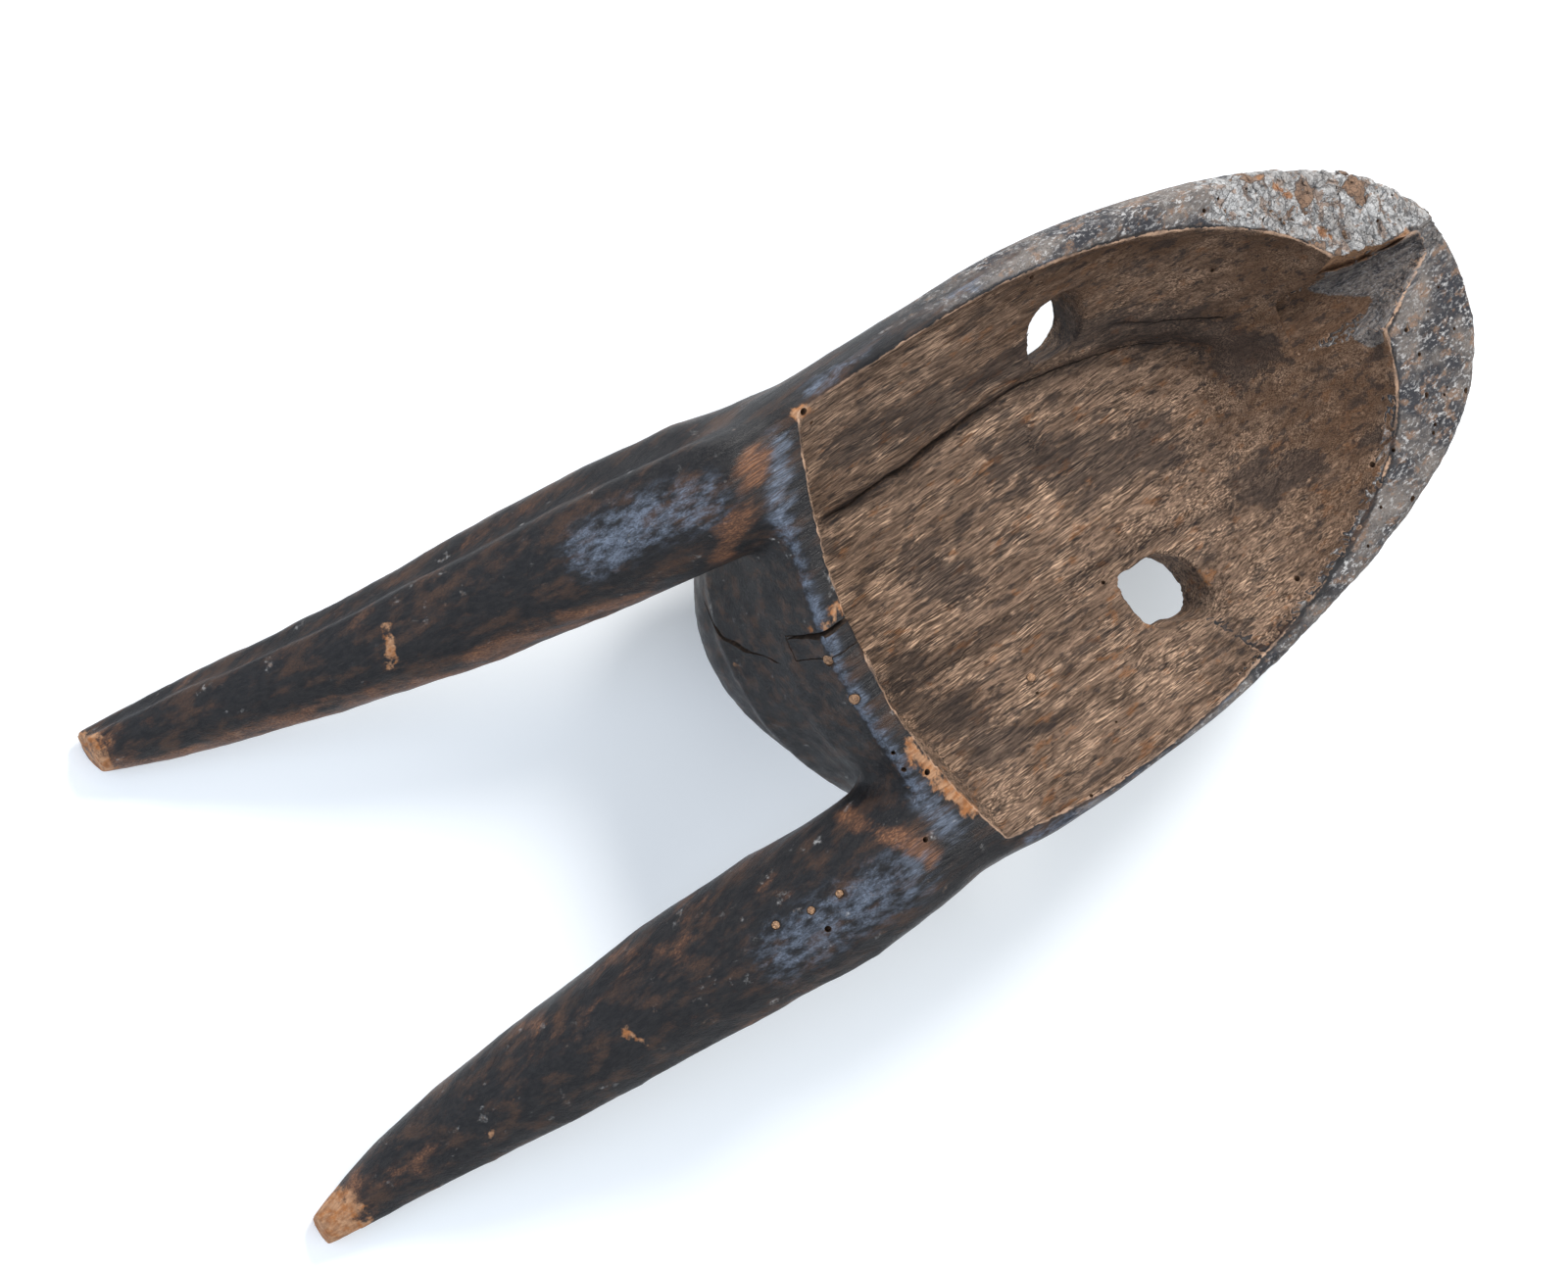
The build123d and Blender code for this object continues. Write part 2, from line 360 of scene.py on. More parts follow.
# Where the shell's side runs into a horn: a place, and how far the blend reaches.
SHOULDERS = (((112.0, -32.0, 118.0), 48.0), ((-112.0, -16.0, 120.0), 40.0))
BLEND_SHARE = 0.6
ALL_ROUNDS, ROOT_ROUNDS, FRONT_ROUNDS, SHOULDER_ROUNDS = 3, 70, 24, 130


def near_places(points, places):
    """1 near any of the places, falling to 0 from each one's inner to its outer distance."""
    share = np.zeros(len(points))
    for place, inner, outer in places:
        away = np.linalg.norm(points - place, axis=1)
        share = np.maximum(share, 1 - step_between(away, inner, outer))
    return share


def relax(points, edges, share, rounds):
    """Moves points towards their neighbours' middle, by a share that may differ from place to place."""
    count = np.bincount(edges.ravel(), minlength=len(points))
    for _ in range(rounds):
        middle = np.zeros_like(points)
        for axis in range(3):
            middle[:, axis] = np.bincount(edges[:, 0], points[edges[:, 1], axis], len(points))
            middle[:, axis] += np.bincount(edges[:, 1], points[edges[:, 0], axis], len(points))
        points = points + (middle / count[:, None] - points) * share[:, None]
    return points


edges = np.empty(len(block.data.edges) * 2, np.int32)
block.data.edges.foreach_get("vertices", edges)
edges = edges.reshape(-1, 2)
points = points_of(block)
x, y, z = points.T
points = relax(points, edges, np.full(len(points), 0.5), ALL_ROUNDS)
near_root = near_places(points, [(root, 12, ROOT_BLEND) for root in HORN_ROOTS])
near_root *= step_between(-y, 16, 30)
points = relax(points, edges, near_root * BLEND_SHARE, ROOT_ROUNDS)
front_edge = step_between(-y, 34, 42) * step_between(z, 112, 122) * step_between(100 - np.abs(x), 0, 20)
points = relax(points, edges, front_edge * BLEND_SHARE, FRONT_ROUNDS)
gap = rim_gap(points, normals_of(block))
shoulder = near_places(points, [(place, 0.35 * reach, reach) for place, reach in SHOULDERS])
points = relax(points, edges, shoulder * step_between(-gap, 2, 6) * BLEND_SHARE, SHOULDER_ROUNDS)
set_points(block, points)
print("horn roots blended over", int((near_root > 0.1).sum()), "points")

# %% [markdown]
# The forehead slopes from its rounded rim to a low ridge and turns under there. The front stays
# plain and calm: this step adds only a raised ring round each eye hole.

# %% Forehead and face
EYE_SPOTS = ((64.0, 120.5), (-62.5, 125.5))
TURN_UNDER, RIM_TOP = 66.0, 134.0
EYE_RING = 22.0         # the raised ring's distance from the middle of an eye hole
WORN_WAY = np.array((0.45, 0.89))
EYE_WEAR = 4.0


def push(piece, amount, direction=None):
    """Moves a mesh's points by an amount in mm, along their normals or one direction."""
    way = normals_of(piece) if direction is None else np.asarray(direction, float)
    set_points(piece, points_of(piece) + way * np.asarray(amount)[:, None])


x, y, z = points_of(block).T
forehead = step_between(-y, 30, 44) * step_between(82 - np.abs(x), 0, 30)
slope = np.sin(np.clip((z - TURN_UNDER) / (RIM_TOP - TURN_UNDER), 0, 1) * math.pi) ** 0.8
under = step_between(TURN_UNDER + 2 - z, 0, 10) * step_between(z, 14, 40)
push(block, forehead * (3.2 * slope + 2.4 * under), (0, 1, 0))
x, y, z = points_of(block).T
facing_down = step_between(-normals_of(block)[:, 2], 0.1, 0.5)
eye_ring = np.zeros(len(x))
for eye_x, eye_y in EYE_SPOTS:
    reach = np.hypot(x - eye_x, y - eye_y)
    eye_ring = np.maximum(eye_ring, np.exp(-(((reach - EYE_RING) / 4.5) ** 2)))
push(block, 2.6 * eye_ring * facing_down * step_between(96 - z, 0, 10))

# The +X eye is worn wider on its chin side.
points = points_of(block)
away = points[:, :2] - EYE_SPOTS[0]
reach = np.hypot(away[:, 0], away[:, 1])
way = away / reach[:, None]
share = step_between(way @ WORN_WAY, 0.3, 0.95) * np.exp(-(((reach - 14) / 8) ** 2))
points[:, :2] += EYE_WEAR * share[:, None] * way
set_points(block, points)
print("forehead sloped, eye rings raised, one eye worn wider")

# %% Adze cuts and hand-made unevenness
points, normals = points_of(block), normals_of(block)
x, y, z = points.T
gap = rim_gap(points, normals)
inside = step_between(gap, -1, 2)
on_horn = step_between(-y, 62, 84)
on_top = step_between(normals[:, 2], 0.75, 0.95) * step_between(z, 122, 130) * (1 - inside) * (1 - on_horn)
keep_flat = 1 - step_between(3 - z, 0, 3)

large_cut, _ = scoops(points, (22, 58, 22), 11)
small_cut, _ = scoops(points, (11, 24, 11), 23)
height = 0.9 * lumps(points, 55, 5) * (1 - inside)
height += (large_cut - 0.3) * (1 - inside) * (0.5 + 0.9 * on_horn)
height += (small_cut - 0.3) * ((1 - inside) * 0.35 + inside * 1.3)
height += inside * (0.9 * lumps(points, (20, 70, 20), 47) + 0.3 * rough(points, (3.5, 45, 3.5), 51, 2))
height += 0.2 * rough(points, (4, 16, 4), 61) * (1 - 0.4 * inside)
push(block, height * keep_flat * (1 - 0.6 * on_top))
print("adze cuts from", height.min().round(2), "to", height.max().round(2), "mm")

# %% [markdown]
# ## Worn chin, crust and creases
# The chin's top is grey and dry. On one side it carries a thick pale crust that has cracked into
# plates, so it stands a little proud and its cracks go down to the wood. Two creases run along the
# hollow's floor where the wood has split along its grain.

# %% Crust plates, creases and the knot
CREASE_MINUS = (
    (-42, 2, 88), (-41, 16, 88), (-42, 35, 89), (-40, 46, 88), (-41, 59, 90), (-43, 73, 91),
    (-44, 86, 92), (-43, 110, 94), (-37, 140, 94), (-26, 173, 95), (-13, 194, 97),
)
CREASE_PLUS = ((37, -3, 87), (42, 41, 87), (44, 81, 89), (44, 110, 91), (47, 140, 98), (51, 166, 107))
KNOT = (-19.0, 113.0, 84.0)


def distance_to_path(points, path):
    """How far each point is from a line of straight runs."""
    best = np.full(len(points), 1e9)
    for start, end in zip(path, path[1:]):
        start, end = np.array(start, float), np.array(end, float)
        run = end - start
        share = np.clip((points - start) @ run / (run @ run), 0, 1)
        best = np.minimum(best, np.linalg.norm(points - start - share[:, None] * run, axis=1))
    return best


def crust_share(points):
    """1 in the middle of the crusted side of the chin, falling to 0 round it."""
    x, y, z = points.T
    reach = np.hypot((x + 55) / 52, (y - 248) / 62)
    reach = np.minimum(reach, np.hypot((x + 20) / 20, (y - 290) / 24))
    reach = reach + 0.18 * lumps(points, 17, 71)
    return (1 - step_between(reach, 0.72, 1.0)) * step_between(z, 126, 134)


points, normals = points_of(block), normals_of(block)
x, y, z = points.T
gap = rim_gap(points, normals)
outside = step_between(-gap, 0.5, 4)
crust = crust_share(points) * outside
plate, ridge = scoops(points + 3.5 * lumps(points, 8, 77)[:, None], (13, 15, 40), 73)
seam = 1 - step_between(ridge, 0.02, 0.13)
height = crust * (0.9 - 0.9 * plate - 1.5 * seam + 0.8 * rough(points, 4.5, 79))
grey_top = step_between(y, 60, 150) * step_between(z, 128, 135) * outside * (1 - crust)
height += grey_top * (0.4 * rough(points, (3.5, 5, 3.5), 83) - 0.2)
jog = points + np.array((1.6, 0, 0)) * lumps(points, 14, 87)[:, None]
height -= 2.6 * np.exp(-((distance_to_path(jog, CREASE_MINUS) / 5.5) ** 2)) * step_between(gap, 0, 6)
height -= 1.5 * np.exp(-((distance_to_path(jog, CREASE_PLUS) / 4.5) ** 2)) * step_between(gap, 0, 6)
swirl = np.hypot((x - KNOT[0]) / 14, (y - KNOT[1]) / 8)
height += 1.6 * step_between(1 - swirl, 0, 0.45) * step_between(gap, 0, 6) * (lumps(points, 9, 91) + 0.6)
push(block, height)
print("crust over", int((crust > 0.5).sum()), "points")

# %% Keep the wood inside the CAD box
BOX_LOW = np.array(cad_low) / MM + (0.15, 0.15, 0.0)
BOX_HIGH = np.array(cad_high) / MM - 0.15
MOST_TRIANGLES = 150000


def keep_in_box(piece):
    """Moves points that stick out of the CAD box back to just inside it."""
    set_points(piece, np.clip(points_of(piece), BOX_LOW, BOX_HIGH))


keep_in_box(block)
thin = block.modifiers.new("thin out", "DECIMATE")
thin.ratio = min(1.0, MOST_TRIANGLES / (2 * len(block.data.polygons)))
block = flattened(block, "wood")
block.data.polygons.foreach_set("use_smooth", [True] * len(block.data.polygons))
print("wood after thinning:", len(block.data.polygons), "faces")

# %% [markdown]
# ## Cracks
# A crack is a thin gap with sharp lips, finer than the skin's faces. So it isn't pushed in: a
# ragged blade is made along the crack's line and cut out of the wood with a Boolean, which leaves
# true walls. The blade is a closed wedge, wide over the surface and sharp at its lower edge.

# %% Blades for the cracks
# Line on the surface, half-width at each of its points, depth, and the way into the wood.
DOWN = (0.0, 0.0, -1.0)
INTO_FOREHEAD = (0.0, 0.62, -0.78)
CRACKS = {
    "floor split": (
        CREASE_MINUS, (0.5, 0.9, 1.6, 3.4, 2.4, 1.9, 1.4, 0.8, 0.5, 0.35, 0.1), 17.0, (-0.5, 0.0, -0.87)),
    "floor check": (((41.5, 12, 87), (42.5, 34, 87), (43, 60, 88)), (0.1, 0.6, 0.1), 3.5, DOWN),
    "floor check 2": (((43.5, 80, 90), (44.5, 100, 91), (45, 118, 92)), (0.1, 0.6, 0.1), 3.5, DOWN),
    "chin check": (
        ((-49, 152, 108), (-36, 178, 104), (-22, 205, 106), (-12, 232, 112)),
        (0.1, 0.3, 0.3, 0.1), 3.0, DOWN),
    "rim crack": (
        ((-18, -30, 134), (-17.6, -36, 134), (-17.4, -42, 131), (-17, -48, 122), (-16.5, -53, 110)),
        (1.0, 1.7, 1.7, 1.3, 0.5), 16.0, INTO_FOREHEAD),
    "notch tear": (
        ((-31, 228, 142), (-26, 240, 142), (-22.5, 252, 142), (-18.5, 272, 142), (-15.5, 288, 141)),
        (0.5, 3.6, 4.4, 2.8, 0.5), 13.0, (0.3, 0.1, -0.95)),
    "fissure": (
        ((-5, -54, 103), (-9, -56, 92), (-13, -57, 80), (-18, -58, 71), (-27, -57, 63), (-37, -54, 57)),
        (0.6, 1.5, 2.3, 2.7, 1.9, 0.3), 8.0, (0.1, 0.9, -0.42)),
}
BLADE_STEP = 1.6        # the distance between a blade's sections
BLADE_LIFT = 3.0        # how far a blade's back stands over the surface


def blade(name, line, halves, depth, into, seed):
    """A ragged wedge along a line, from just over the surface down into the wood."""
    line, into = np.array(line, float), np.array(into, float)
    into = into / np.linalg.norm(into)
    count = max(12, int(np.linalg.norm(line[-1] - line[0]) / BLADE_STEP))
    place = np.linspace(0, len(line) - 1, count)
    middle = np.stack([np.interp(place, range(len(line)), line[:, i]) for i in range(3)], axis=1)
    half = np.interp(place, range(len(line)), halves)
    along = np.gradient(middle, axis=0)
    side = np.cross(along, into)
    side /= np.linalg.norm(side, axis=1)[:, None]
    middle = middle + side * (0.7 * lumps(middle, 7, seed) + 0.35 * lumps(middle, 2.5, seed + 1))[:, None]
    half = half * (1 + 0.45 * lumps(middle, 4, seed + 2))
    ends = np.minimum(np.arange(count), np.arange(count)[::-1]) / 3
    drop = depth * np.clip(ends, 0.15, 1) * (1 + 0.25 * lumps(middle, 9, seed + 3))
    left = middle + side * half[:, None] - into * BLADE_LIFT
    right = middle - side * half[:, None] - into * BLADE_LIFT
    floor_line = middle + into * drop[:, None]
    mesh = bpy.data.meshes.new(name)
    faces = []
    for i in range(count - 1):
        a, b, c, d, e, f = (n + i + step for step in (0, 1) for n in (0, count, 2 * count))
        faces += [(a, d, e, b), (b, e, f, c), (c, f, d, a)]
    faces += [(0, count, 2 * count), (count - 1, 3 * count - 1, 2 * count - 1)]
    mesh.from_pydata([tuple(p * MM) for p in np.vstack((left, right, floor_line))], [], faces)
    work = bmesh.new()
    work.from_mesh(mesh)
    bmesh.ops.triangulate(work, faces=work.faces)
    bmesh.ops.recalc_face_normals(work, faces=work.faces)
    work.to_mesh(mesh)
    work.free()
    return new_object(name, mesh)


def cut(piece, tool, name, keep="DIFFERENCE"):
    """The piece less the tool, or what both share; the tool stays."""
    change = piece.modifiers.new("cut", "BOOLEAN")
    change.operation = keep
    change.solver = "MANIFOLD"
    change.object = tool
    change.material_mode = "TRANSFER"
    return flattened(piece, name)


torn = bpy.data.materials.new("torn wood")
bored = bpy.data.materials.new("bored wood")
fresh = bpy.data.materials.new("freshly torn wood")
carved = bpy.data.materials.new("carved wood")
block.data.materials.clear()
block.data.materials.append(carved)
for number, (name, (line, halves, depth, into)) in enumerate(CRACKS.items()):
    tool = blade(name, line, halves, depth, into, 200 + 10 * number)
    tool.data.materials.append(fresh if name == "notch tear" else torn)
    block = cut(block, tool, "wood")
    bpy.data.objects.remove(tool)
    print(name, "cut;", len(block.data.polygons), "faces")

# %% [markdown]
# ## The loose block and its ragged cracks
# The piece that broke off the forehead's rim is the same wood, so it is parted from the finished
# block and not modelled again. One ragged box cuts it out, and a slightly smaller box keeps it:
# the difference between them is the crack that shows round it.

# %% Part the loose block
CRACK_GAP = 0.55
BOX_CUTS = 14
PAST_FACES, PAST_TOP = 18.0, 14.0       # how far the ragged box runs past the block


def ragged_box(name, low, high, shrink, seed):
    """A box with torn sides, between two corners in mm, made smaller by a shrink."""
    work = bmesh.new()
    bmesh.ops.create_cube(work, size=1)
    bmesh.ops.subdivide_edges(work, edges=work.edges, cuts=BOX_CUTS, use_grid_fill=True)
    low, high = np.array(low, float), np.array(high, float)
    unit = np.array([v.co for v in work.verts])
    points = low + (high - low) * (unit + 0.5)
    shift = [lumps(points, 6, seed + i) + 0.5 * lumps(points, 2.5, seed + 5 + i) for i in range(3)]
    outer = np.sign(np.round(unit, 3)) * (np.abs(unit) > 0.499)
    points = points + 0.55 * np.stack(shift, axis=1) * (1, 0.2, 1) - outer * shrink
    for vert, point in zip(work.verts, points):
        vert.co = point * MM
    bmesh.ops.triangulate(work, faces=work.faces)
    mesh = bpy.data.meshes.new(name)
    work.to_mesh(mesh)
    work.free()
    mesh.materials.append(torn)
    return new_object(name, mesh)


block_low, block_high = (np.array(corner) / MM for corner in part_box("rim_block"))
box_low, box_high = block_low - (0, PAST_FACES, 0), block_high + (0, PAST_FACES, PAST_TOP)
socket = ragged_box("socket", box_low, box_high, 0.0, 301)
core = ragged_box("core", box_low, box_high, CRACK_GAP, 301)
loose = new_object("loose", block.data.copy())
body = cut(block, socket, "carved_body_look")
loose = cut(loose, core, "rim_block_look", "INTERSECT")
for tool in (socket, core):
    bpy.data.objects.remove(tool)
print("body", len(body.data.polygons), "faces; loose block", len(loose.data.polygons), "faces")

# %% [markdown]
# ## Worm holes with Geometry Nodes
# Beetles have left round holes about 2 mm across, most of them in the dry chin. They repeat and
# they follow the surface, so Geometry Nodes place them: each point of a small list finds the
# nearest wood and its normal, and carries a tapered bit that points into the wood. More bits are
# scattered, mostly on the chin, with a fixed seed. The bits are then cut out of the body.

# %% Small helpers for node trees


def put(tree, kind, wires=None, **settings):
    """Adds a node. Its inputs, by name or number, are given as sockets or as plain values."""
    node = tree.nodes.new(kind)
    for name, value in settings.items():
        setattr(node, name, value)
    for name, value in (wires or {}).items():
        if isinstance(value, bpy.types.NodeSocket):
            tree.links.new(value, node.inputs[name])
        else:
            node.inputs[name].default_value = value
    return node


def socket_on(tree, way, kind, name, value=None):
    """A named input or output of a node group."""
    made = tree.interface.new_socket(name, in_out=way, socket_type=kind)
    if value is not None:
        made.default_value = value
    return made


def geometry_tree(name, inputs):
    """A new Geometry Nodes tree with its named inputs, and the sockets that they give inside it."""
    tree = bpy.data.node_groups.new(name, "GeometryNodeTree")
    socket_on(tree, "INPUT", "NodeSocketGeometry", "Geometry")
    for item, (kind, value) in inputs.items():
        socket_on(tree, "INPUT", "NodeSocket" + kind, item, value)
    socket_on(tree, "OUTPUT", "NodeSocketGeometry", "Geometry")
    return tree, put(tree, "NodeGroupInput").outputs


def end_tree(tree, geometry, material):
    """Gives the geometry its material and sends it out of the tree."""
    wires = {"Geometry": geometry, "Material": material}
    painted = put(tree, "GeometryNodeSetMaterial", wires).outputs["Geometry"]
    tree.links.new(painted, put(tree, "NodeGroupOutput").inputs[0])


def stored(tree, name):
    """Reads a number that is stored at each point."""
    node = put(tree, "GeometryNodeInputNamedAttribute", {"Name": name}, data_type="FLOAT")
    return node.outputs["Attribute"]


def chance(tree, low, high, seed):
    """A random number between two numbers."""
    wires = {2: low, 3: high, "Seed": seed}
    return put(tree, "FunctionNodeRandomValue", wires, data_type="FLOAT").outputs[1]


def lean_of(tree, most, seed):
    """A small random direction, up to the same amount each way."""
    wires = {0: (-most, -most, -most), 1: (most, most, most), "Seed": seed}
    return put(tree, "FunctionNodeRandomValue", wires, data_type="FLOAT_VECTOR").outputs[0]


def turned_to(tree, direction, lean):
    """A rotation whose Z looks along a direction that leans a little."""
    facing = vector(tree, "ADD", direction, lean)
    return put(tree, "FunctionNodeAlignRotationToVector", {"Vector": facing}, axis="Z").outputs[0]


def calc(tree, operation, *values):
    """One step of arithmetic on sockets or numbers."""
    return put(tree, "ShaderNodeMath", dict(enumerate(values)), operation=operation).outputs[0]


def vector(tree, operation, first, second):
    """One step of arithmetic on places or directions; SCALE takes a number second."""
    other = "Scale" if operation == "SCALE" else 1
    return put(tree, "ShaderNodeVectorMath", {0: first, other: second}, operation=operation).outputs[0]


def vector_of(tree, **parts):
    """A place or direction from its X, Y and Z."""
    return put(tree, "ShaderNodeCombineXYZ", parts).outputs[0]


def run_tree(tree, carrier, values, name):
    """Runs a Geometry Nodes tree on a carrier mesh and returns its plain result."""
    change = carrier.modifiers.new("nodes", "NODES")
    change.node_group = tree
    for item in tree.interface.items_tree:
        if item.item_type == "SOCKET" and item.in_out == "INPUT" and item.name in values:
            change[item.identifier] = values[item.name]
    return flattened(carrier, name)


print("node helpers ready")

# %% The tree that places the bits
BIT_SIDES = 14
BIT_TOP, BIT_FOOT = 1.0 * MM, 0.8 * MM
BIT_SUNK = -0.72        # how deep a bit's middle sits, as a share of its length


def worm_tree():
    """Tapered bits on the listed points and scattered where the wood is dry."""
    tree, given = geometry_tree("worm holes", {
        "Wood": ("Object", None), "Depth": ("Float", 0.006), "Spacing": ("Float", 0.012),
        "Scatter": ("Float", 400.0), "Seed": ("Int", 5), "Material": ("Material", None),
    })
    wood = put(tree, "GeometryNodeObjectInfo", {"Object": given["Wood"]}).outputs["Geometry"]
    listed = put(tree, "GeometryNodeMeshToPoints", {"Mesh": given["Geometry"]}).outputs["Points"]
    scatter = put(
        tree, "GeometryNodeDistributePointsOnFaces",
        {"Mesh": wood, "Distance Min": given["Spacing"], "Density Max": given["Scatter"],
         "Density Factor": stored(tree, "worm"), "Seed": given["Seed"]},
        distribute_method="POISSON",
    ).outputs["Points"]
    sized = put(
        tree, "GeometryNodeStoreNamedAttribute",
        {"Geometry": scatter, "Name": "bore", "Value": chance(tree, 0.5, 1.05, given["Seed"])},
        data_type="FLOAT", domain="POINT",
    ).outputs["Geometry"]
    every = put(tree, "GeometryNodeJoinGeometry")
    tree.links.new(listed, every.inputs[0])
    tree.links.new(sized, every.inputs[0])
    here = put(tree, "GeometryNodeInputPosition").outputs[0]
    nearest = put(tree, "GeometryNodeProximity", {"Geometry": wood}, target_element="FACES")
    placed = put(
        tree, "GeometryNodeSetPosition",
        {"Geometry": every.outputs[0], "Position": nearest.outputs["Position"]},
    ).outputs["Geometry"]
    normal = put(tree, "GeometryNodeInputNormal").outputs[0]
    facing = put(
        tree, "GeometryNodeSampleNearestSurface",
        {"Mesh": wood, "Value": normal, "Sample Position": here}, data_type="FLOAT_VECTOR",
    ).outputs["Value"]
    turn_to = turned_to(tree, facing, lean_of(tree, 0.3, given["Seed"]))
    cone = put(
        tree, "GeometryNodeMeshCone",
        {"Vertices": BIT_SIDES, "Radius Top": BIT_TOP, "Radius Bottom": BIT_FOOT, "Depth": given["Depth"]},
    ).outputs["Mesh"]
    shift = vector_of(tree, Z=calc(tree, "MULTIPLY", given["Depth"], BIT_SUNK))
    sunk = put(tree, "GeometryNodeTransform", {"Geometry": cone, "Translation": shift}).outputs["Geometry"]
    bore = stored(tree, "bore")
    bits = put(
        tree, "GeometryNodeInstanceOnPoints",
        {"Points": placed, "Instance": sunk, "Rotation": turn_to,
         "Scale": vector_of(tree, X=bore, Y=bore, Z=1.0)},
    ).outputs["Instances"]
    real = put(tree, "GeometryNodeRealizeInstances", {"Geometry": bits}).outputs["Geometry"]
    end_tree(tree, real, given["Material"])
    return tree


# %% Drill the worm holes
# Place of each hole that is seen singly, and its radius, all in mm.
WORM_HOLES = (
    (19, 266, 140, 1.1), (49, 262, 141, 1.3), (54, 271, 140, 0.8), (59, 283, 139, 1.4),
    (65, 257, 141, 1.0), (60, 234, 142, 1.0), (62, 225, 136, 1.4), (84, 233, 142, 1.5),
    (78, 216, 142, 0.9), (89, 202, 142, 0.8),
    (-48, 200, 124, 1.1), (86, 169, 132, 1.4), (-94, 113, 134, 1.2), (-88, 118, 131, 0.9),
    (-78, 197, 142, 1.0), (-79, 206, 142, 1.0), (42, -41, 134, 1.0), (51, -41, 134, 1.2), (57, -31, 134, 1.4),
    (81, -45, 133, 1.3), (-101, -9, 134, 1.7), (-93, -5, 129, 1.1), (94, -95, 117, 1.5), (108, 30, 138, 0.9),
)


def store(piece, name, values):
    """Keeps one number at each point of a mesh under a name."""
    held = piece.data.attributes.get(name) or piece.data.attributes.new(name, "FLOAT", "POINT")
    held.data.foreach_set("value", np.asarray(values, np.float32))


places = np.array(WORM_HOLES, float)
listed = new_object("worm places", bpy.data.meshes.new("worm places"))
listed.data.from_pydata([tuple(p * MM) for p in places[:, :3]], [], [])
store(listed, "bore", places[:, 3])
points, normals = points_of(body), normals_of(body)
x, y, z = points.T
gap = rim_gap(points, normals)
dry_top = step_between(y, 190, 260) * step_between(z, 128, 134) * step_between(-gap, 2, 5)
store(body, "worm", dry_top * step_between(normals[:, 2], 0.6, 0.9) + 0.05 * step_between(gap, 5, 9))
bits = run_tree(worm_tree(), listed, {
    "Wood": body, "Depth": 6 * MM, "Spacing": 11 * MM, "Scatter": 5200.0, "Seed": 5, "Material": bored,
}, "bits")
print("worm bits", len(bits.data.polygons) // (BIT_SIDES + 2))
body = cut(body, bits, "carved_body_look")
bpy.data.objects.remove(bits)

# %% [markdown]
# ## Peg and plugs
# The peg in the loose block and the round plugs are pale wood driven into bores. Each bore is cut a
# hair wider than its plug, so a dark ring shows, and each plug gets a slightly torn, domed end. A
# ray along the bore finds where the carved surface really is, so no plug floats or sinks.

# %% Bores and plugs
# Node, way out of the wood, radius, how far the end stands over the surface (all in mm).
PLUGS = (
    ("block_peg", (0.0, -0.8, 0.6), 2.3, -0.9),
    ("rim_plug", (0.0, -0.8, 0.6), 2.2, 0.1),
    ("floor_plug", (-0.55, 0.0, 0.835), 1.8, 0.7),
    ("horn_root_plugs", (-0.1, -0.45, 0.89), 1.6, 0.15),
)
RING = 0.3              # the dark ring between a bore and its plug
BAR_SIDES, BAR_RINGS = 26, 7
DOME = 0.35
PLUG_FOOT = 0.2         # a plug's foot stays this far off the bore's end


def bar(name, foot, axis, radius, length, seed, ragged):
    """A round bar from a foot point along an axis, with a torn end, in mm."""
    sides = BAR_SIDES
    axis = Vector(axis).normalized()
    turn_to = axis.to_track_quat("Z", "Y").to_matrix()
    rows = [(radius, length * i / (BAR_RINGS - 1)) for i in range(BAR_RINGS)]
    rows += [(radius * share, length + DOME * (1 - share**2)) for share in (0.85, 0.6, 0.3)]
    spots = []
    for reach, height in rows:
        for i in range(sides):
            angle = 2 * math.pi * i / sides
            spots.append((reach * math.cos(angle), reach * math.sin(angle), height))
    spots += [(0, 0, 0), (0, 0, length + DOME)]
    spots = np.array(spots)
    wobble = ragged * lumps(spots * 1.7 + seed, 1.0, seed)
    spots[:, 2] += np.where(spots[:, 2] > length - 0.01, wobble, 0)
    spots[:, :2] *= (1 + 0.03 * lumps(spots + seed, 1.5, seed + 1))[:, None]
    faces = []
    last = len(rows) - 1
    for row in range(last):
        for i in range(sides):
            j = (i + 1) % sides
            faces.append((row * sides + i, row * sides + j, (row + 1) * sides + j, (row + 1) * sides + i))
    for i in range(sides):
        j = (i + 1) % sides
        faces.append((len(spots) - 2, j, i))
        faces.append((len(spots) - 1, last * sides + i, last * sides + j))
    mesh = bpy.data.meshes.new(name)
    foot = Vector(foot)
    mesh.from_pydata([(foot + turn_to @ Vector(spot)) * MM for spot in spots], [], faces)
    return new_object(name, mesh)


LOOK_FROM = 40.0


def surface_under(pieces, middle, axis):
    """Where a line along an axis through a middle point first meets the wood from outside."""
    axis = Vector(axis).normalized()
    start = (Vector(middle) + axis * LOOK_FROM) * MM
    hits = []
    for piece in pieces:
        tree = BVHTree.FromObject(piece, bpy.context.evaluated_depsgraph_get())
        hit = tree.ray_cast(start, -axis, 2 * LOOK_FROM * MM)[0]
        if hit is not None:
            hits.append(hit / MM)
    return max(hits, key=lambda hit: hit.dot(axis))


def centres_of(node):
    """The middle of each separate solid in a CAD node, in mm, from -X to +X."""
    work = bmesh.new()
    work.from_mesh(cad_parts[node].data)
    bmesh.ops.remove_doubles(work, verts=work.verts, dist=SAME_POINT)
    left = set(work.verts)
    found = []
    while left:
        group, queue = set(), [left.pop()]
        while queue:
            vert = queue.pop()
            group.add(vert)
            near = {edge.other_vert(vert) for edge in vert.link_edges} & left
            left -= near
            queue += near
        spots = np.array([v.co for v in group]) / MM
        found.append((spots.min(0) + spots.max(0)) / 2)
    work.free()
    return sorted(found, key=tuple)


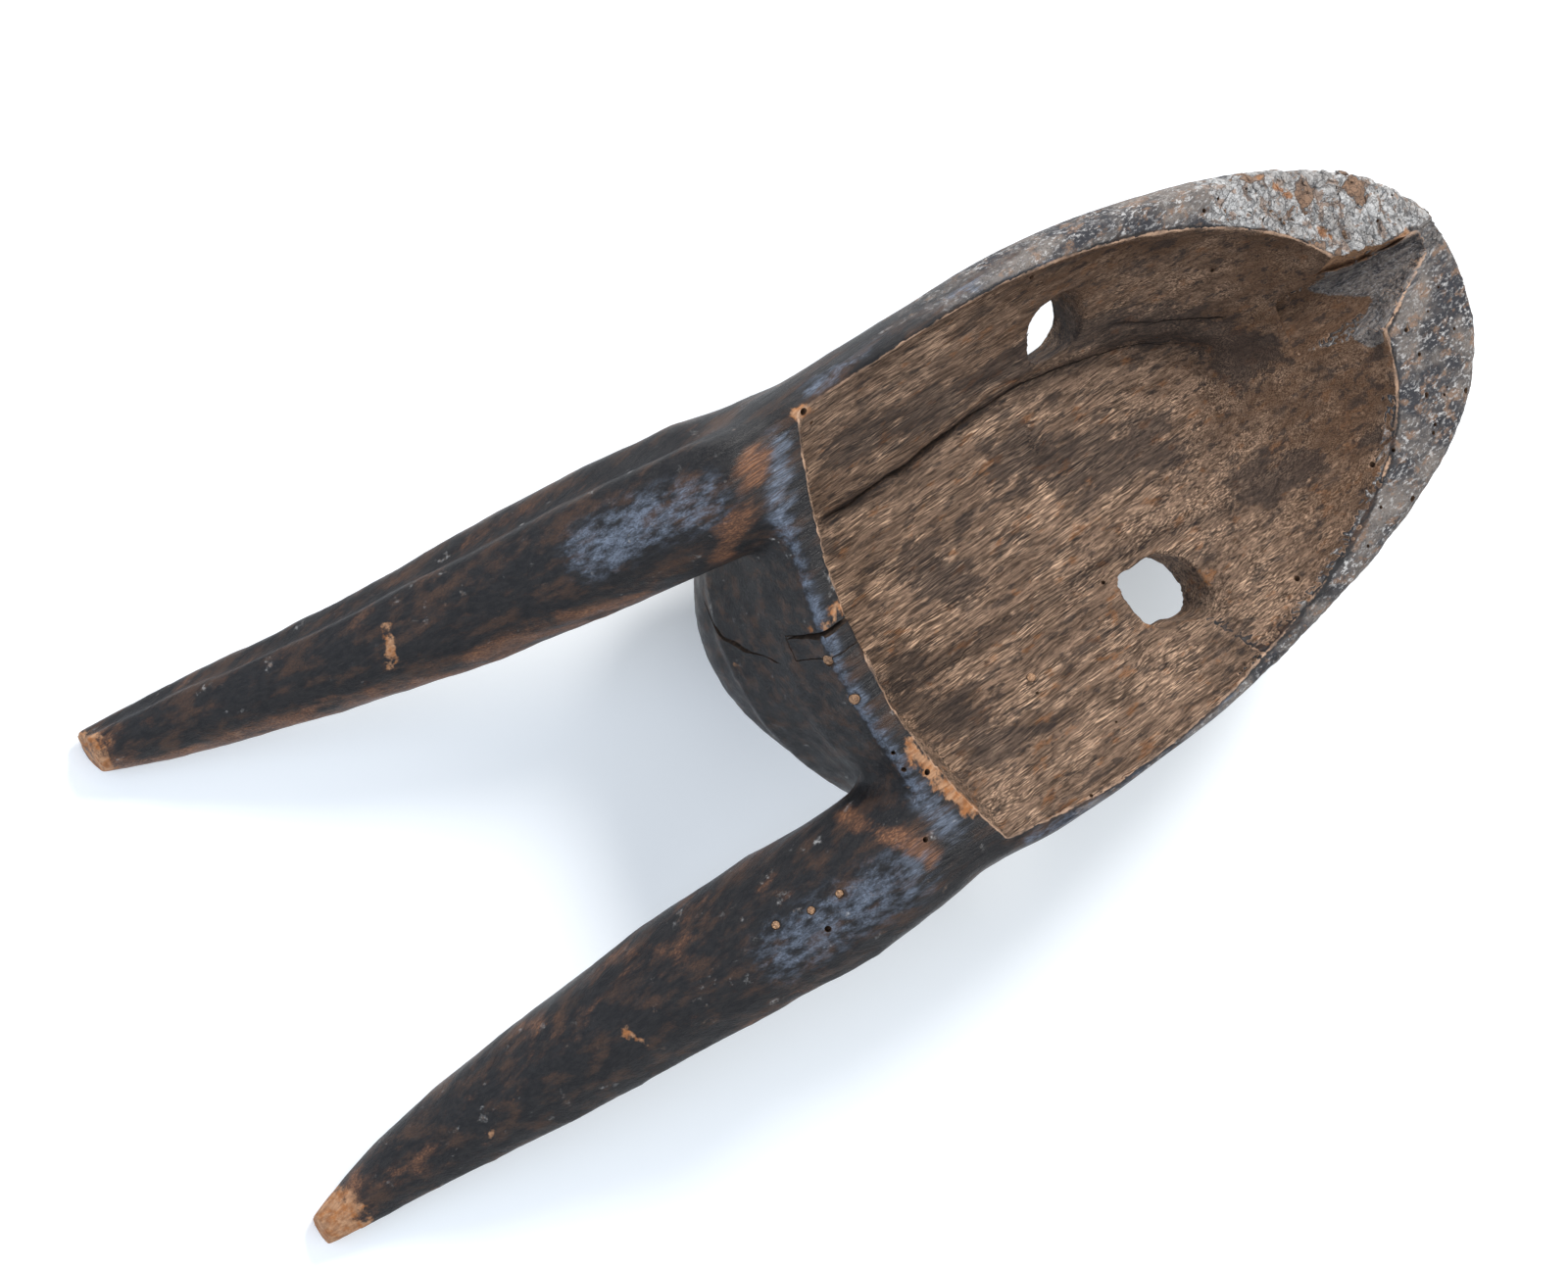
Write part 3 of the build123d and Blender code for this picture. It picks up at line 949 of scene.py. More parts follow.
def joined(pieces, name):
    """Several meshes as one object."""
    work = bmesh.new()
    for piece in pieces:
        work.from_mesh(piece.data)
        bpy.data.objects.remove(piece)
    mesh = bpy.data.meshes.new(name)
    work.to_mesh(mesh)
    work.free()
    return new_object(name, mesh)


plug_pieces = {}
BORE_DEPTH = 7.0
for node, axis, radius, proud in PLUGS:
    made = []
    for number, middle in enumerate(centres_of(node)):
        top = surface_under((body, loose), middle, axis)
        inward = Vector(axis).normalized()
        tool = bar("bore", top - inward * BORE_DEPTH, axis, radius + RING, BORE_DEPTH + 3, 1, 0.0)
        tool.data.materials.append(bored)
        body = cut(body, tool, "carved_body_look")
        if node == "block_peg":
            loose = cut(loose, tool, "rim_block_look")
        bpy.data.objects.remove(tool)
        foot = top - inward * (BORE_DEPTH - PLUG_FOOT)
        made.append(bar(node, foot, axis, radius, BORE_DEPTH - 2 * PLUG_FOOT + proud, 400 + number, 0.5))
    plug_pieces[node] = joined(made, node + "_look")
    print(node, len(made), "made; radius", radius, "mm")

# %% [markdown]
# ## Marks that the finishes follow
# The finishes change with the place: raw wood in the hollow, grey dry wood on the chin, crust,
# rubbed brown on the horns' flanks, a bluish sheen that is painted highlight, bare tan spots, damp
# stains, and painted shade in the creases, the cracks and the -X eye hole. Each is stored as one
# number a point. They are smooth on purpose, because the materials break them up with noise.

# %% Where each finish lies
# Bare tan spots: a short line on the surface, and how far the spot reaches from it, in mm.
BARE_SPOTS = (
    (((-104, -186, 71), (-95, -189, 72), (-89, -191, 69)), 3.6),
    (((93, -180, 80), (104, -173, 79)), 4.0),
    (((108, -240, 46), (109, -241, 46)), 3.0),
    (((98, -226, 53), (99, -227, 53)), 2.6),
    (((-102, -12, 135), (-98, -5, 135)), 4.8),
    (((-24, -33, 134), (-20, -42, 134)), 6.0),
    (((-20, -36, 134), (-20, -50, 124)), 2.5),
    (((43, -33, 134), (66, -28, 134), (82, -20, 134)), 7.0),
    (((-7, -57, 69), (-6, -57, 70)), 3.0),
    (((-14, 246, 136), (-16, 268, 138), (-17, 288, 139)), 3.4),
    (((68, 139, 114), (73, 132, 108)), 8.0),
    (((-42, 246, 142), (-36, 250, 142)), 4.0),
    (((-76, 231, 138), (-62, 238, 142)), 4.0),
)
# Brown dirt in the creases at the horn roots.
DIRT_LINES = (
    (((-97, -36, 134), (-88, -44, 134), (-77, -57, 130), (-66, -62, 116), (-58, -62, 96)), 11.0),
    (((57, -62, 108), (64, -62, 121), (75, -54, 132), (88, -46, 134)), 8.0),
)
# Where a bluish sheen is painted on as a highlight, on the faces that point up.
PAINTED_SHEEN_LINES = (
    (((-90, -60, 124), (-95, -85, 119), (-94, -108, 108)), 17.0),
    (((90, -56, 126), (92, -84, 118), (95, -112, 102)), 19.0),
    (((-96, -24, 134), (-70, -38, 134), (-40, -44, 133), (0, -47, 132), (40, -44, 133), (86, -32, 134)),
     9.0),
    (((-108, 0, 135), (-112, 45, 131), (-107, 86, 140), (-96, 130, 142)), 9.0),
    (((108, 0, 135), (112, 60, 138), (108, 120, 142)), 8.0),
)
# The +X rim's top, worn pale.
WORN_TOP = ((((84, 200, 142), (101, 162, 142), (107, 117, 142), (108, 64, 142), (106, 23, 140)), 9.0),)
# Each horn from root to tip: place along Y, how far its middle is from the mask's, half-width.
HORN_LINES = {
    -1: ((-43, 85, 30), (-97, 88, 29), (-162, 92, 24), (-214, 98, 20), (-267, 104, 14), (-300, 110, 9)),
    1: ((-43, 87, 32), (-97, 92, 31), (-162, 97, 27), (-214, 102, 22), (-267, 109, 15), (-312, 115, 7)),
}
# Soot and damp stains: a line, and how far the stain reaches, in mm.
DARK_STAINS = (
    (((-72, 10, 112), (-60, 60, 108), (-56, 110, 108)), 15.0),
    (((-66, 118, 104), (-50, 152, 104), (-25, 188, 104), (0, 210, 107)), 17.0),
    (((-16, 96, 84), (4, 124, 84), (14, 160, 90)), 20.0),
    (((2, 34, 82), (18, 44, 82)), 17.0),
    (((38, 0, 92), (70, 14, 108)), 20.0),
    (((46, 178, 108), (52, 205, 120)), 13.0),
)


def across_horn(points, side):
    """Place across a horn from -1, its inner flank, to 1, its outer flank."""
    line = np.array(HORN_LINES[side], float)[::-1]
    middle = side * np.interp(points[:, 1], line[:, 0], line[:, 1])
    half = np.interp(points[:, 1], line[:, 0], line[:, 2])
    return side * (points[:, 0] - middle) / half


def spot_share(points, spots):
    """1 on the listed short lines, falling to 0 at each one's reach."""
    share = np.zeros(len(points))
    for line, reach in spots:
        share = np.maximum(share, 1 - distance_to_path(points, line) / reach)
    return np.clip(share, 0, 1)


# %% The rules behind the marks
BLOCK_HOLLOW_SIDE = -32.0       # the loose block's wood beyond this, along Y, is the hollow's wall


def near_path(points, path, reach):
    """1 on a line of straight runs, falling off like a bell over the reach."""
    return np.exp(-((distance_to_path(points, path) / reach) ** 2))


def rub_share(points):
    """The horns' flanks and tips, and the dirt at their roots."""
    x, y, _ = points.T
    on_horn = step_between(-y, 60, 110)
    flank = np.where(x < 0, across_horn(points, -1), across_horn(points, 1))
    inner_flank = step_between(-flank, 0.2, 0.9) * np.where(x < 0, 1.0, 0.4)
    tip = step_between(-y, 255, 300) * 0.7
    low_side = step_between(np.abs(flank), 0.6, 0.95) * 0.4
    rub = np.maximum(on_horn * np.maximum(inner_flank, low_side), tip)
    return np.clip(np.maximum(rub, 1.4 * spot_share(points, DIRT_LINES)), 0, 1)


def crease_shade_share(points):
    """Painted shade: dark in the creases and cracks, and in a ring round the -X eye hole's bore."""
    x, y, z = points.T
    crease_shade = near_path(points, CREASE_MINUS, 4.0)
    crease_shade = np.maximum(crease_shade, 0.8 * near_path(points, CREASE_PLUS, 3.0))
    for name, (line, _, _, _) in CRACKS.items():
        if name != "notch tear":
            crease_shade = np.maximum(crease_shade, 0.8 * near_path(points, line, 1.5))
    bore = np.hypot(x - EYE_SPOTS[1][0], y - EYE_SPOTS[1][1]) + 0.5 * np.maximum(z - 96, 0)
    return np.clip(np.maximum(crease_shade, 0.75 * (1 - step_between(bore, 13, 19))), 0, 1)


def notch_share(points):
    """The smooth grey face of the notch in the chin."""
    x, y, z = points.T
    half = 20 - 0.33 * (y - 258)
    notch = step_between(half - np.abs(x + 4 + 0.14 * (y - 258)), -1, 1.5) * step_between(y, 240, 248)
    return notch * step_between(z - 117 - 0.55 * (x + 12), -2, 2) * step_between(140.5 - z, 0, 1)


def deep_share(points, gap):
    """The dark brown wood at the hollow's chin end and under its -X wall."""
    x, y, _ = points.T
    deep = np.maximum(step_between(y, 150, 225), step_between(-x, 48, 70) * step_between(y, 50, 130))
    return deep * step_between(gap, -1, 1)


def grey_share(points):
    """The dry wood, more towards the chin, and the pale top of the +X rim."""
    x, y, z = points.T
    grey = step_between(y - 0.35 * x, 20, 175) * step_between(z, 76, 132)
    return np.maximum(grey, 0.95 * np.sqrt(spot_share(points, WORN_TOP)))


def mark(piece):
    """Stores every mark on a piece of the carved wood."""
    points, normals = points_of(piece), normals_of(piece)
    y = points[:, 1]
    gap = rim_gap(points, normals)
    if piece is loose:
        gap = np.where(y > BLOCK_HOLLOW_SIDE, np.abs(gap), gap)
    outside = step_between(-gap, 0, 3)
    facing_up = step_between(normals[:, 2], 0.1, 0.7)
    marks = {
        "rim_gap": gap,
        "crust": crust_share(points) * outside,
        "grey": grey_share(points) * outside,
        "rub": rub_share(points),
        "bare": np.maximum(spot_share(points, BARE_SPOTS), 0.95 * step_between(-y, 286, 304)),
        # painted shade in the creases, the cracks and the -X eye hole
        "crease_shade": crease_shade_share(points),
        "notch": notch_share(points),
        # painted highlight: a bluish sheen on the faces that point up, along the listed lines
        "painted_sheen": spot_share(points, PAINTED_SHEEN_LINES) * facing_up * outside,
        "deep": deep_share(points, gap),
        "damp": spot_share(points, DARK_STAINS),
    }
    for name, share in marks.items():
        store(piece, name, share)


for piece in (body, loose):
    mark(piece)
print("marks stored:", [a.name for a in body.data.attributes if a.domain == "POINT"])

# %% [markdown]
# ## Flakes and raised fibres with Geometry Nodes
# Dry wood comes apart in small ways that a remeshed skin is too coarse for: the crust lifts in thin
# flakes, and in the hollow single fibres stand up. Both repeat and both lie on the surface, so one
# node tree lays both. It scatters points by a stored share, turns a small disc to the surface with
# its length along the grain, and then bends every bit a little out of shape.

# %% The tree that scatters thin bits
FLAKE_SIDES = 7
GRAIN_WAY = (0.0, 1.0, 0.0)


def bit_tree():
    """Thin bits lying on the wood, longest along the grain unless Spin turns them."""
    tree, given = geometry_tree("thin bits", {
        "Spacing": ("Float", 0.003), "Scatter": ("Float", 60000.0), "Half Size": ("Vector", None),
        "Spin": ("Float", 0.0), "Bend": ("Float", 0.001), "Seed": ("Int", 1), "Material": ("Material", None),
    })
    scatter = put(
        tree, "GeometryNodeDistributePointsOnFaces",
        {"Mesh": given["Geometry"], "Distance Min": given["Spacing"], "Density Max": given["Scatter"],
         "Density Factor": stored(tree, "bits"), "Seed": given["Seed"]},
        distribute_method="POISSON",
    ).outputs
    turn_to = turned_to(tree, scatter["Normal"], lean_of(tree, 0.12, given["Seed"]))
    turn_to = put(
        tree, "FunctionNodeAlignRotationToVector", {"Rotation": turn_to, "Vector": GRAIN_WAY},
        axis="Y", pivot_axis="Z",
    ).outputs[0]
    any_way = calc(tree, "MULTIPLY", chance(tree, -3.1, 3.1, 77), given["Spin"])
    spin = calc(tree, "ADD", chance(tree, -0.12, 0.12, given["Seed"]), any_way)
    turn_to = put(
        tree, "FunctionNodeRotateRotation", {"Rotation": turn_to, "Rotate By": vector_of(tree, Z=spin)},
        rotation_space="LOCAL",
    ).outputs[0]
    disc = put(
        tree, "GeometryNodeMeshCylinder", {"Vertices": FLAKE_SIDES, "Radius": 1.0, "Depth": 2.0}
    ).outputs["Mesh"]
    size = vector(tree, "SCALE", given["Half Size"], chance(tree, 0.45, 1.25, given["Seed"]))
    bits = put(
        tree, "GeometryNodeInstanceOnPoints",
        {"Points": scatter["Points"], "Instance": disc, "Rotation": turn_to, "Scale": size},
    ).outputs["Instances"]
    real = put(tree, "GeometryNodeRealizeInstances", {"Geometry": bits}).outputs["Geometry"]
    noise = put(tree, "ShaderNodeTexNoise", {"Scale": 420.0, "Detail": 2.0}).outputs["Color"]
    noise = vector(tree, "SCALE", vector(tree, "SUBTRACT", noise, (0.5, 0.5, 0.5)), given["Bend"])
    bent = put(tree, "GeometryNodeSetPosition", {"Geometry": real, "Offset": noise}).outputs["Geometry"]
    end_tree(tree, bent, given["Material"])
    return tree


# %% Lay the flakes and fibres
points, normals = points_of(body), normals_of(body)
gap = rim_gap(points, normals)
crust = crust_share(points) * step_between(-gap, 1.5, 4) * step_between(normals[:, 2], 0.3, 0.7)
hollow = step_between(gap, 4, 12) * step_between(normals[:, 2], 0.35, 0.8) * (lumps(points, 14, 93) > -0.25)
BITS = (
    ("flakes", crust, {
        "Spacing": 3.3 * MM, "Scatter": 70000.0, "Half Size": (1.8 * MM, 2.6 * MM, 0.25 * MM),
        "Spin": 1.0, "Bend": 1.7 * MM, "Seed": 4,
    }),
    ("fibres", hollow, {
        "Spacing": 4.0 * MM, "Scatter": 60000.0, "Half Size": (0.20 * MM, 3.2 * MM, 0.16 * MM),
        "Spin": 0.0, "Bend": 0.5 * MM, "Seed": 9,
    }),
)
tree = bit_tree()
made = []
for name, share, values in BITS:
    carrier = new_object(name, body.data.copy())
    store(carrier, "bits", share)
    laid = run_tree(tree, carrier, values | {"Material": carved}, name)
    # A node tree's own shapes bring an empty first slot, and the carved wood is the body's first.
    laid.data.polygons.foreach_set("material_index", [0] * len(laid.data.polygons))
    made.append(laid)
    print(name, len(laid.data.polygons) // (FLAKE_SIDES + 2))
finishes = list(body.data.materials)
body = joined([body, *made], "carved_body_look")
for finish in finishes:
    body.data.materials.append(finish)
keep_in_box(body)
mark(body)
print("body with its bits:", len(body.data.polygons), "faces")

# %% [markdown]
# ## Shader groups
# Grain and blotches come back in every material, and crazing twice in the crust, so each is one
# node group with named inputs and outputs, built once. Edge wear is a group as well, so that its
# ragged line reads as one thing. They work in the object's own coordinates in millimetres, so their
# sizes are real sizes. The groups put out only masks, values and heights. The shader itself stays
# in each material.

# %% The shared groups


def times(tree, first, second):
    """Two values multiplied."""
    return calc(tree, "MULTIPLY", first, second)


def plus(tree, first, second):
    """Two values added."""
    return calc(tree, "ADD", first, second)


def minus(tree, first, second):
    """The first value less the second."""
    return calc(tree, "SUBTRACT", first, second)


def larger(tree, first, second):
    """The larger of two values."""
    return calc(tree, "MAXIMUM", first, second)


def fade(tree, value, low, high):
    """0 to 1 as a value goes from low to high, smooth at both ends."""
    wires = {"Value": value, "From Min": low, "From Max": high}
    return put(tree, "ShaderNodeMapRange", wires, interpolation_type="SMOOTHSTEP").outputs[0]


def tint(tree, share, under, over):
    """One colour over another, by a share; a colour is a socket or three numbers."""
    under, over = (c if isinstance(c, bpy.types.NodeSocket) else (*c, 1) for c in (under, over))
    wires = {0: share, 6: under, 7: over}
    return put(tree, "ShaderNodeMix", wires, data_type="RGBA").outputs[2]


def shader_group(name, inputs, outputs):
    """An empty shader group with its named sockets, and the sockets inside it."""
    tree = bpy.data.node_groups.new(name, "ShaderNodeTree")
    for item, value in inputs.items():
        kind = "NodeSocketVector" if value is None else "NodeSocketFloat"
        socket_on(tree, "INPUT", kind, item, value)
    for item in outputs:
        socket_on(tree, "OUTPUT", "NodeSocketFloat", item)
    return tree, put(tree, "NodeGroupInput").outputs, put(tree, "NodeGroupOutput").inputs


def moved(tree, place, seed):
    """A place shifted by a seed, so that the same noise looks different."""
    shift = vector_of(tree, X=seed, Y=seed, Z=seed)
    return vector(tree, "ADD", place, shift)


def noise_of(tree, place, scale, detail, roughness):
    """Plain noise from 0 to 1."""
    wires = {"Vector": place, "Scale": scale, "Detail": detail, "Roughness": roughness}
    return put(tree, "ShaderNodeTexNoise", wires).outputs["Fac"]


def noise_way(tree, place, scale, detail):
    """Noise as a direction, each part from 0 to 1."""
    wires = {"Vector": place, "Scale": scale, "Detail": detail}
    return put(tree, "ShaderNodeTexNoise", wires).outputs["Color"]


def grain_group():
    """Fibres that run along Y: fine streaks, broad bands, and a height for bump."""
    sockets = {"Place": None, "Width": 0.5, "Length": 10.0, "Wander": 0.6, "Seed": 0.0}
    tree, given, result = shader_group("wood grain", sockets, ("Fibre", "Band", "Height"))
    place = moved(tree, given["Place"], given["Seed"])
    wander = vector(tree, "SUBTRACT", noise_way(tree, place, 0.035, 2.0), (0.5, 0.5, 0.5))
    reach = times(tree, given["Wander"], 12.0)
    wander = vector(tree, "SCALE", wander, reach)
    place = vector(tree, "ADD", place, wander)
    thin = calc(tree, "DIVIDE", 1.0, given["Width"])
    long = calc(tree, "DIVIDE", 1.0, given["Length"])
    squeeze = vector_of(tree, X=thin, Y=long, Z=thin)
    fine = vector(tree, "MULTIPLY", place, squeeze)
    fibre = noise_of(tree, fine, 1.0, 3.0, 0.62)
    broad = vector(tree, "SCALE", fine, 0.16)
    band = noise_of(tree, broad, 1.0, 3.0, 0.6)
    tree.links.new(fade(tree, fibre, 0.32, 0.68), result["Fibre"])
    tree.links.new(fade(tree, band, 0.3, 0.7), result["Band"])
    tree.links.new(plus(tree, fibre, times(tree, band, 1.2)), result["Height"])
    return tree


def blotch_group():
    """Ragged patches of a given size, longer along Y: a mask that is 1 where the noise is over High."""
    sockets = {"Place": None, "Size": 10.0, "Stretch": 1.0, "Low": 0.5, "High": 0.6, "Push": 0.0, "Seed": 0.0}
    tree, given, result = shader_group("blotches", sockets, ("Mask",))
    place = moved(tree, given["Place"], given["Seed"])
    squeeze = vector_of(tree, X=1.0, Y=calc(tree, "DIVIDE", 1.0, given["Stretch"]), Z=1.0)
    place = vector(tree, "MULTIPLY", place, squeeze)
    value = noise_of(tree, place, calc(tree, "DIVIDE", 1.0, given["Size"]), 6.0, 0.62)
    value = plus(tree, value, given["Push"])
    tree.links.new(fade(tree, value, given["Low"], given["High"]), result["Mask"])
    return tree


def wear_group():
    """A ragged worn line where a distance in mm is near nothing."""
    sockets = {"Place": None, "Gap": 0.0, "Width": 1.0, "Ragged": 0.7, "Seed": 0.0}
    tree, given, result = shader_group("edge wear", sockets, ("Mask",))
    place = moved(tree, given["Place"], given["Seed"])
    coarse = minus(tree, noise_of(tree, place, 0.09, 3.0, 0.6), 0.5)
    fine = minus(tree, noise_of(tree, place, 0.6, 2.0, 0.6), 0.5)
    spread = plus(tree, times(tree, coarse, 4.0), times(tree, fine, 1.6))
    uneven = plus(tree, 1.0, times(tree, spread, given["Ragged"]))
    width = times(tree, given["Width"], uneven)
    share = calc(tree, "DIVIDE", calc(tree, "ABSOLUTE", given["Gap"]), larger(tree, width, 0.05))
    tree.links.new(minus(tree, 1.0, fade(tree, share, 0.5, 1.2)), result["Mask"])
    return tree


def craze_group():
    """A net of fine cracks: a mask that is 1 in a crack, and each plate's own value."""
    sockets = {"Place": None, "Size": 6.0, "Width": 0.3, "Seed": 0.0}
    tree, given, result = shader_group("crazing", sockets, ("Mask", "Plate"))
    place = moved(tree, given["Place"], given["Seed"])
    jog = vector(tree, "SCALE", noise_way(tree, place, 0.25, 4.0), 9.0)
    place = vector(tree, "ADD", place, jog)
    scale = calc(tree, "DIVIDE", 1.0, given["Size"])
    cells = {"Vector": place, "Scale": scale}
    edge = put(tree, "ShaderNodeTexVoronoi", cells, feature="DISTANCE_TO_EDGE").outputs["Distance"]
    plate = put(tree, "ShaderNodeTexVoronoi", cells).outputs["Color"]
    plate = put(tree, "ShaderNodeSeparateColor", {0: plate}).outputs[0]
    share = calc(tree, "DIVIDE", times(tree, edge, given["Size"]), given["Width"])
    tree.links.new(minus(tree, 1.0, fade(tree, share, 0.4, 1.6)), result["Mask"])
    tree.links.new(plate, result["Plate"])
    return tree


GROUPS = {"grain": grain_group(), "blotch": blotch_group(), "wear": wear_group(), "craze": craze_group()}


def use(tree, group, **values):
    """Places a shared group in a material."""
    node = tree.nodes.new("ShaderNodeGroup")
    node.node_tree = GROUPS[group]
    for name, value in values.items():
        if isinstance(value, bpy.types.NodeSocket):
            tree.links.new(value, node.inputs[name])
        else:
            node.inputs[name].default_value = value
    return node.outputs


def blotch(tree, place, **values):
    """The mask of the ragged patches."""
    return use(tree, "blotch", Place=place, **values)["Mask"]


def mark_of(tree, name):
    """Reads a stored mark."""
    return put(tree, "ShaderNodeAttribute", attribute_name=name, attribute_type="GEOMETRY").outputs["Fac"]


def place_in_mm(tree):
    """The object's own coordinates in millimetres."""
    place = put(tree, "ShaderNodeTexCoord").outputs["Object"]
    return vector(tree, "SCALE", place, 1 / MM)


def finish_shader(material, colour, roughness, height, depth, specular):
    """Feeds a material's own shader; depth is the bump's real depth in mm."""
    tree = material.node_tree
    shader = tree.nodes["Principled BSDF"]
    shader.inputs["Specular IOR Level"].default_value = specular
    tree.links.new(colour, shader.inputs["Base Color"])
    tree.links.new(roughness, shader.inputs["Roughness"])
    bump = put(tree, "ShaderNodeBump", {"Height": height, "Strength": 1.0, "Distance": depth * MM})
    tree.links.new(bump.outputs["Normal"], shader.inputs["Normal"])


print("shared groups:", [group.name for group in GROUPS.values()])

# %% [markdown]
# ## The carved wood
# One material covers the body and the loose block, because they are one block of wood. It lays the
# finishes over each other in the order in which time did: raw brown wood, the dark handled patina
# outside, brown rubbing, the grey dry chin, the crust, and last the bare tan spots and the worn rim.

# %% Colours
RAW_DARK = (0.086, 0.053, 0.035)
RAW_MID = (0.330, 0.210, 0.142)
RAW_LIGHT = (0.760, 0.500, 0.335)
RAW_GAP = (0.012, 0.008, 0.006)
RAW_STAIN = (0.018, 0.018, 0.021)
RAW_ORANGE = (0.310, 0.130, 0.050)
DEEP_BROWN = (0.125, 0.064, 0.034)
PATINA_DARK = (0.006, 0.006, 0.008)
PATINA_MID = (0.015, 0.014, 0.015)
PATINA_BROWN = (0.070, 0.036, 0.022)
# Painted highlight: the bluish sheen and the pale glints in it.
PAINTED_SHEEN_BLUE = (0.135, 0.162, 0.215)
PAINTED_GLINT_PALE = (0.400, 0.405, 0.430)
RUBBED = (0.110, 0.048, 0.026)
RUBBED_LIGHT = (0.300, 0.135, 0.066)
GREY_DARK = (0.040, 0.040, 0.046)
GREY_MID = (0.195, 0.168, 0.150)
GREY_PALE = (0.520, 0.505, 0.495)
CRUST_MID = (0.270, 0.260, 0.255)
CRUST_PALE = (0.560, 0.552, 0.545)
CRUST_TAN = (0.260, 0.160, 0.105)
TAN = (0.480, 0.265, 0.145)
TAN_ORANGE = (0.380, 0.150, 0.050)
PALE_EDGE = (0.520, 0.330, 0.220)
print("colours ready, as the share of red, green and blue light that the wood gives back")


# %% The carved wood's material
def raw_wood(tree, place, fine, broad):
    """The hollow's raw wood: streaks, dark gaps between fibres, stains and warm patches."""
    deep, damp = mark_of(tree, "deep"), mark_of(tree, "damp")
    colour = tint(tree, broad["Fibre"], RAW_DARK, RAW_MID)
    worn = blotch(tree, place, Size=11.0, Stretch=2.6, Low=0.40, High=0.60, Seed=3.0)
    light = times(tree, fade(tree, fine["Fibre"], 0.45, 1.0), worn)
    colour = tint(tree, times(tree, light, 0.9), colour, RAW_LIGHT)
    warm = blotch(tree, place, Size=6.0, Stretch=2.2, Low=0.57, High=0.66, Seed=17.0)
    colour = tint(tree, times(tree, warm, 0.6), colour, RAW_ORANGE)
    browned = times(tree, deep, plus(tree, 0.45, times(tree, broad["Band"], 0.4)))
    colour = tint(tree, browned, colour, DEEP_BROWN)
    push = times(tree, damp, 0.24)
    stain = blotch(tree, place, Size=10.0, Stretch=2.8, Low=0.57, High=0.66, Push=push, Seed=9.0)
    fleck = blotch(tree, place, Size=3.2, Stretch=3.0, Low=0.56, High=0.62, Push=push, Seed=12.0)
    stain = larger(tree, times(tree, stain, 0.6), times(tree, fleck, 0.6))
    colour = tint(tree, stain, colour, RAW_STAIN)
    gaps = minus(tree, 1.0, fade(tree, fine["Fibre"], 0.05, 0.45))
    colour = tint(tree, times(tree, gaps, 0.5), colour, RAW_GAP)
    pores = use(tree, "grain", Place=place, Width=0.26, Length=3.2, Wander=0.1, Seed=14.0)["Fibre"]
    pores = minus(tree, 1.0, fade(tree, pores, 0.0, 0.22))
    return tint(tree, times(tree, pores, 0.75), colour, RAW_GAP)


def handled_wood(tree, place, fine, broad):
    """The outside: near-black patina, brown streaks, rubbed red-brown and a painted bluish highlight."""
    rub, painted_sheen = mark_of(tree, "rub"), mark_of(tree, "painted_sheen")
    colour = tint(tree, broad["Fibre"], PATINA_DARK, PATINA_MID)
    brown = blotch(tree, place, Size=7.0, Stretch=5.0, Low=0.47, High=0.66, Seed=21.0)
    brown = times(tree, brown, plus(tree, 0.35, times(tree, fine["Fibre"], 0.5)))
    colour = tint(tree, brown, colour, PATINA_BROWN)
    push = times(tree, rub, 0.32)
    rubbed = blotch(tree, place, Size=9.0, Stretch=4.2, Low=0.62, High=0.92, Push=push, Seed=27.0)
    red = tint(tree, fade(tree, fine["Fibre"], 0.3, 1.0), RUBBED, RUBBED_LIGHT)
    colour = tint(tree, times(tree, rubbed, 0.85), colour, red)
    # Painted highlight: a bluish sheen, broken up by the fibres, where the sheen mark lies.
    painted_glint = times(tree, painted_sheen, 0.24)
    painted_glint = blotch(tree, place, Size=3.2, Stretch=3.6, Low=0.48, High=0.86, Push=painted_glint, Seed=24.0)
    painted_glint = times(tree, painted_glint, fade(tree, painted_sheen, 0.0, 0.6))
    painted_glint = times(tree, painted_glint, plus(tree, 0.35, times(tree, fine["Fibre"], 0.9)))
    colour = tint(tree, times(tree, painted_glint, 0.95), colour, PAINTED_SHEEN_BLUE)
    # Painted highlight: pale glints inside the sheen.
    painted_spark = blotch(tree, place, Size=1.6, Stretch=1.8, Low=0.62, High=0.76, Seed=25.0)
    colour = tint(tree, times(tree, painted_spark, times(tree, painted_glint, 0.7)), colour, PAINTED_GLINT_PALE)
    scratch = use(tree, "grain", Place=place, Width=0.3, Length=16.0, Wander=3.0, Seed=57.0)["Fibre"]
    scratch = times(tree, fade(tree, scratch, 0.93, 1.0), 0.07)
    return tint(tree, scratch, colour, GREY_MID)


def dry_wood(tree, place, speck):
    """The chin's grey wood: dull brown-grey with pale flecks, dark pits and warm rubs."""
    broad = blotch(tree, place, Size=16.0, Stretch=1.8, Low=0.40, High=0.62, Seed=31.0)
    colour = tint(tree, broad, GREY_DARK, GREY_MID)
    warm = blotch(tree, place, Size=5.0, Stretch=1.6, Low=0.52, High=0.64, Seed=33.0)
    colour = tint(tree, times(tree, warm, 0.75), colour, CRUST_TAN)
    pale = blotch(tree, place, Size=1.3, Stretch=2.2, Low=0.52, High=0.62, Seed=34.0)
    veil = blotch(tree, place, Size=11.0, Stretch=1.5, Low=0.42, High=0.64, Seed=35.0)
    pale = times(tree, pale, plus(tree, 0.35, times(tree, veil, 0.65)))
    colour = tint(tree, pale, colour, GREY_PALE)
    pits = minus(tree, 1.0, fade(tree, speck, 0.34, 0.46))
    return tint(tree, times(tree, pits, 0.7), colour, GREY_DARK)


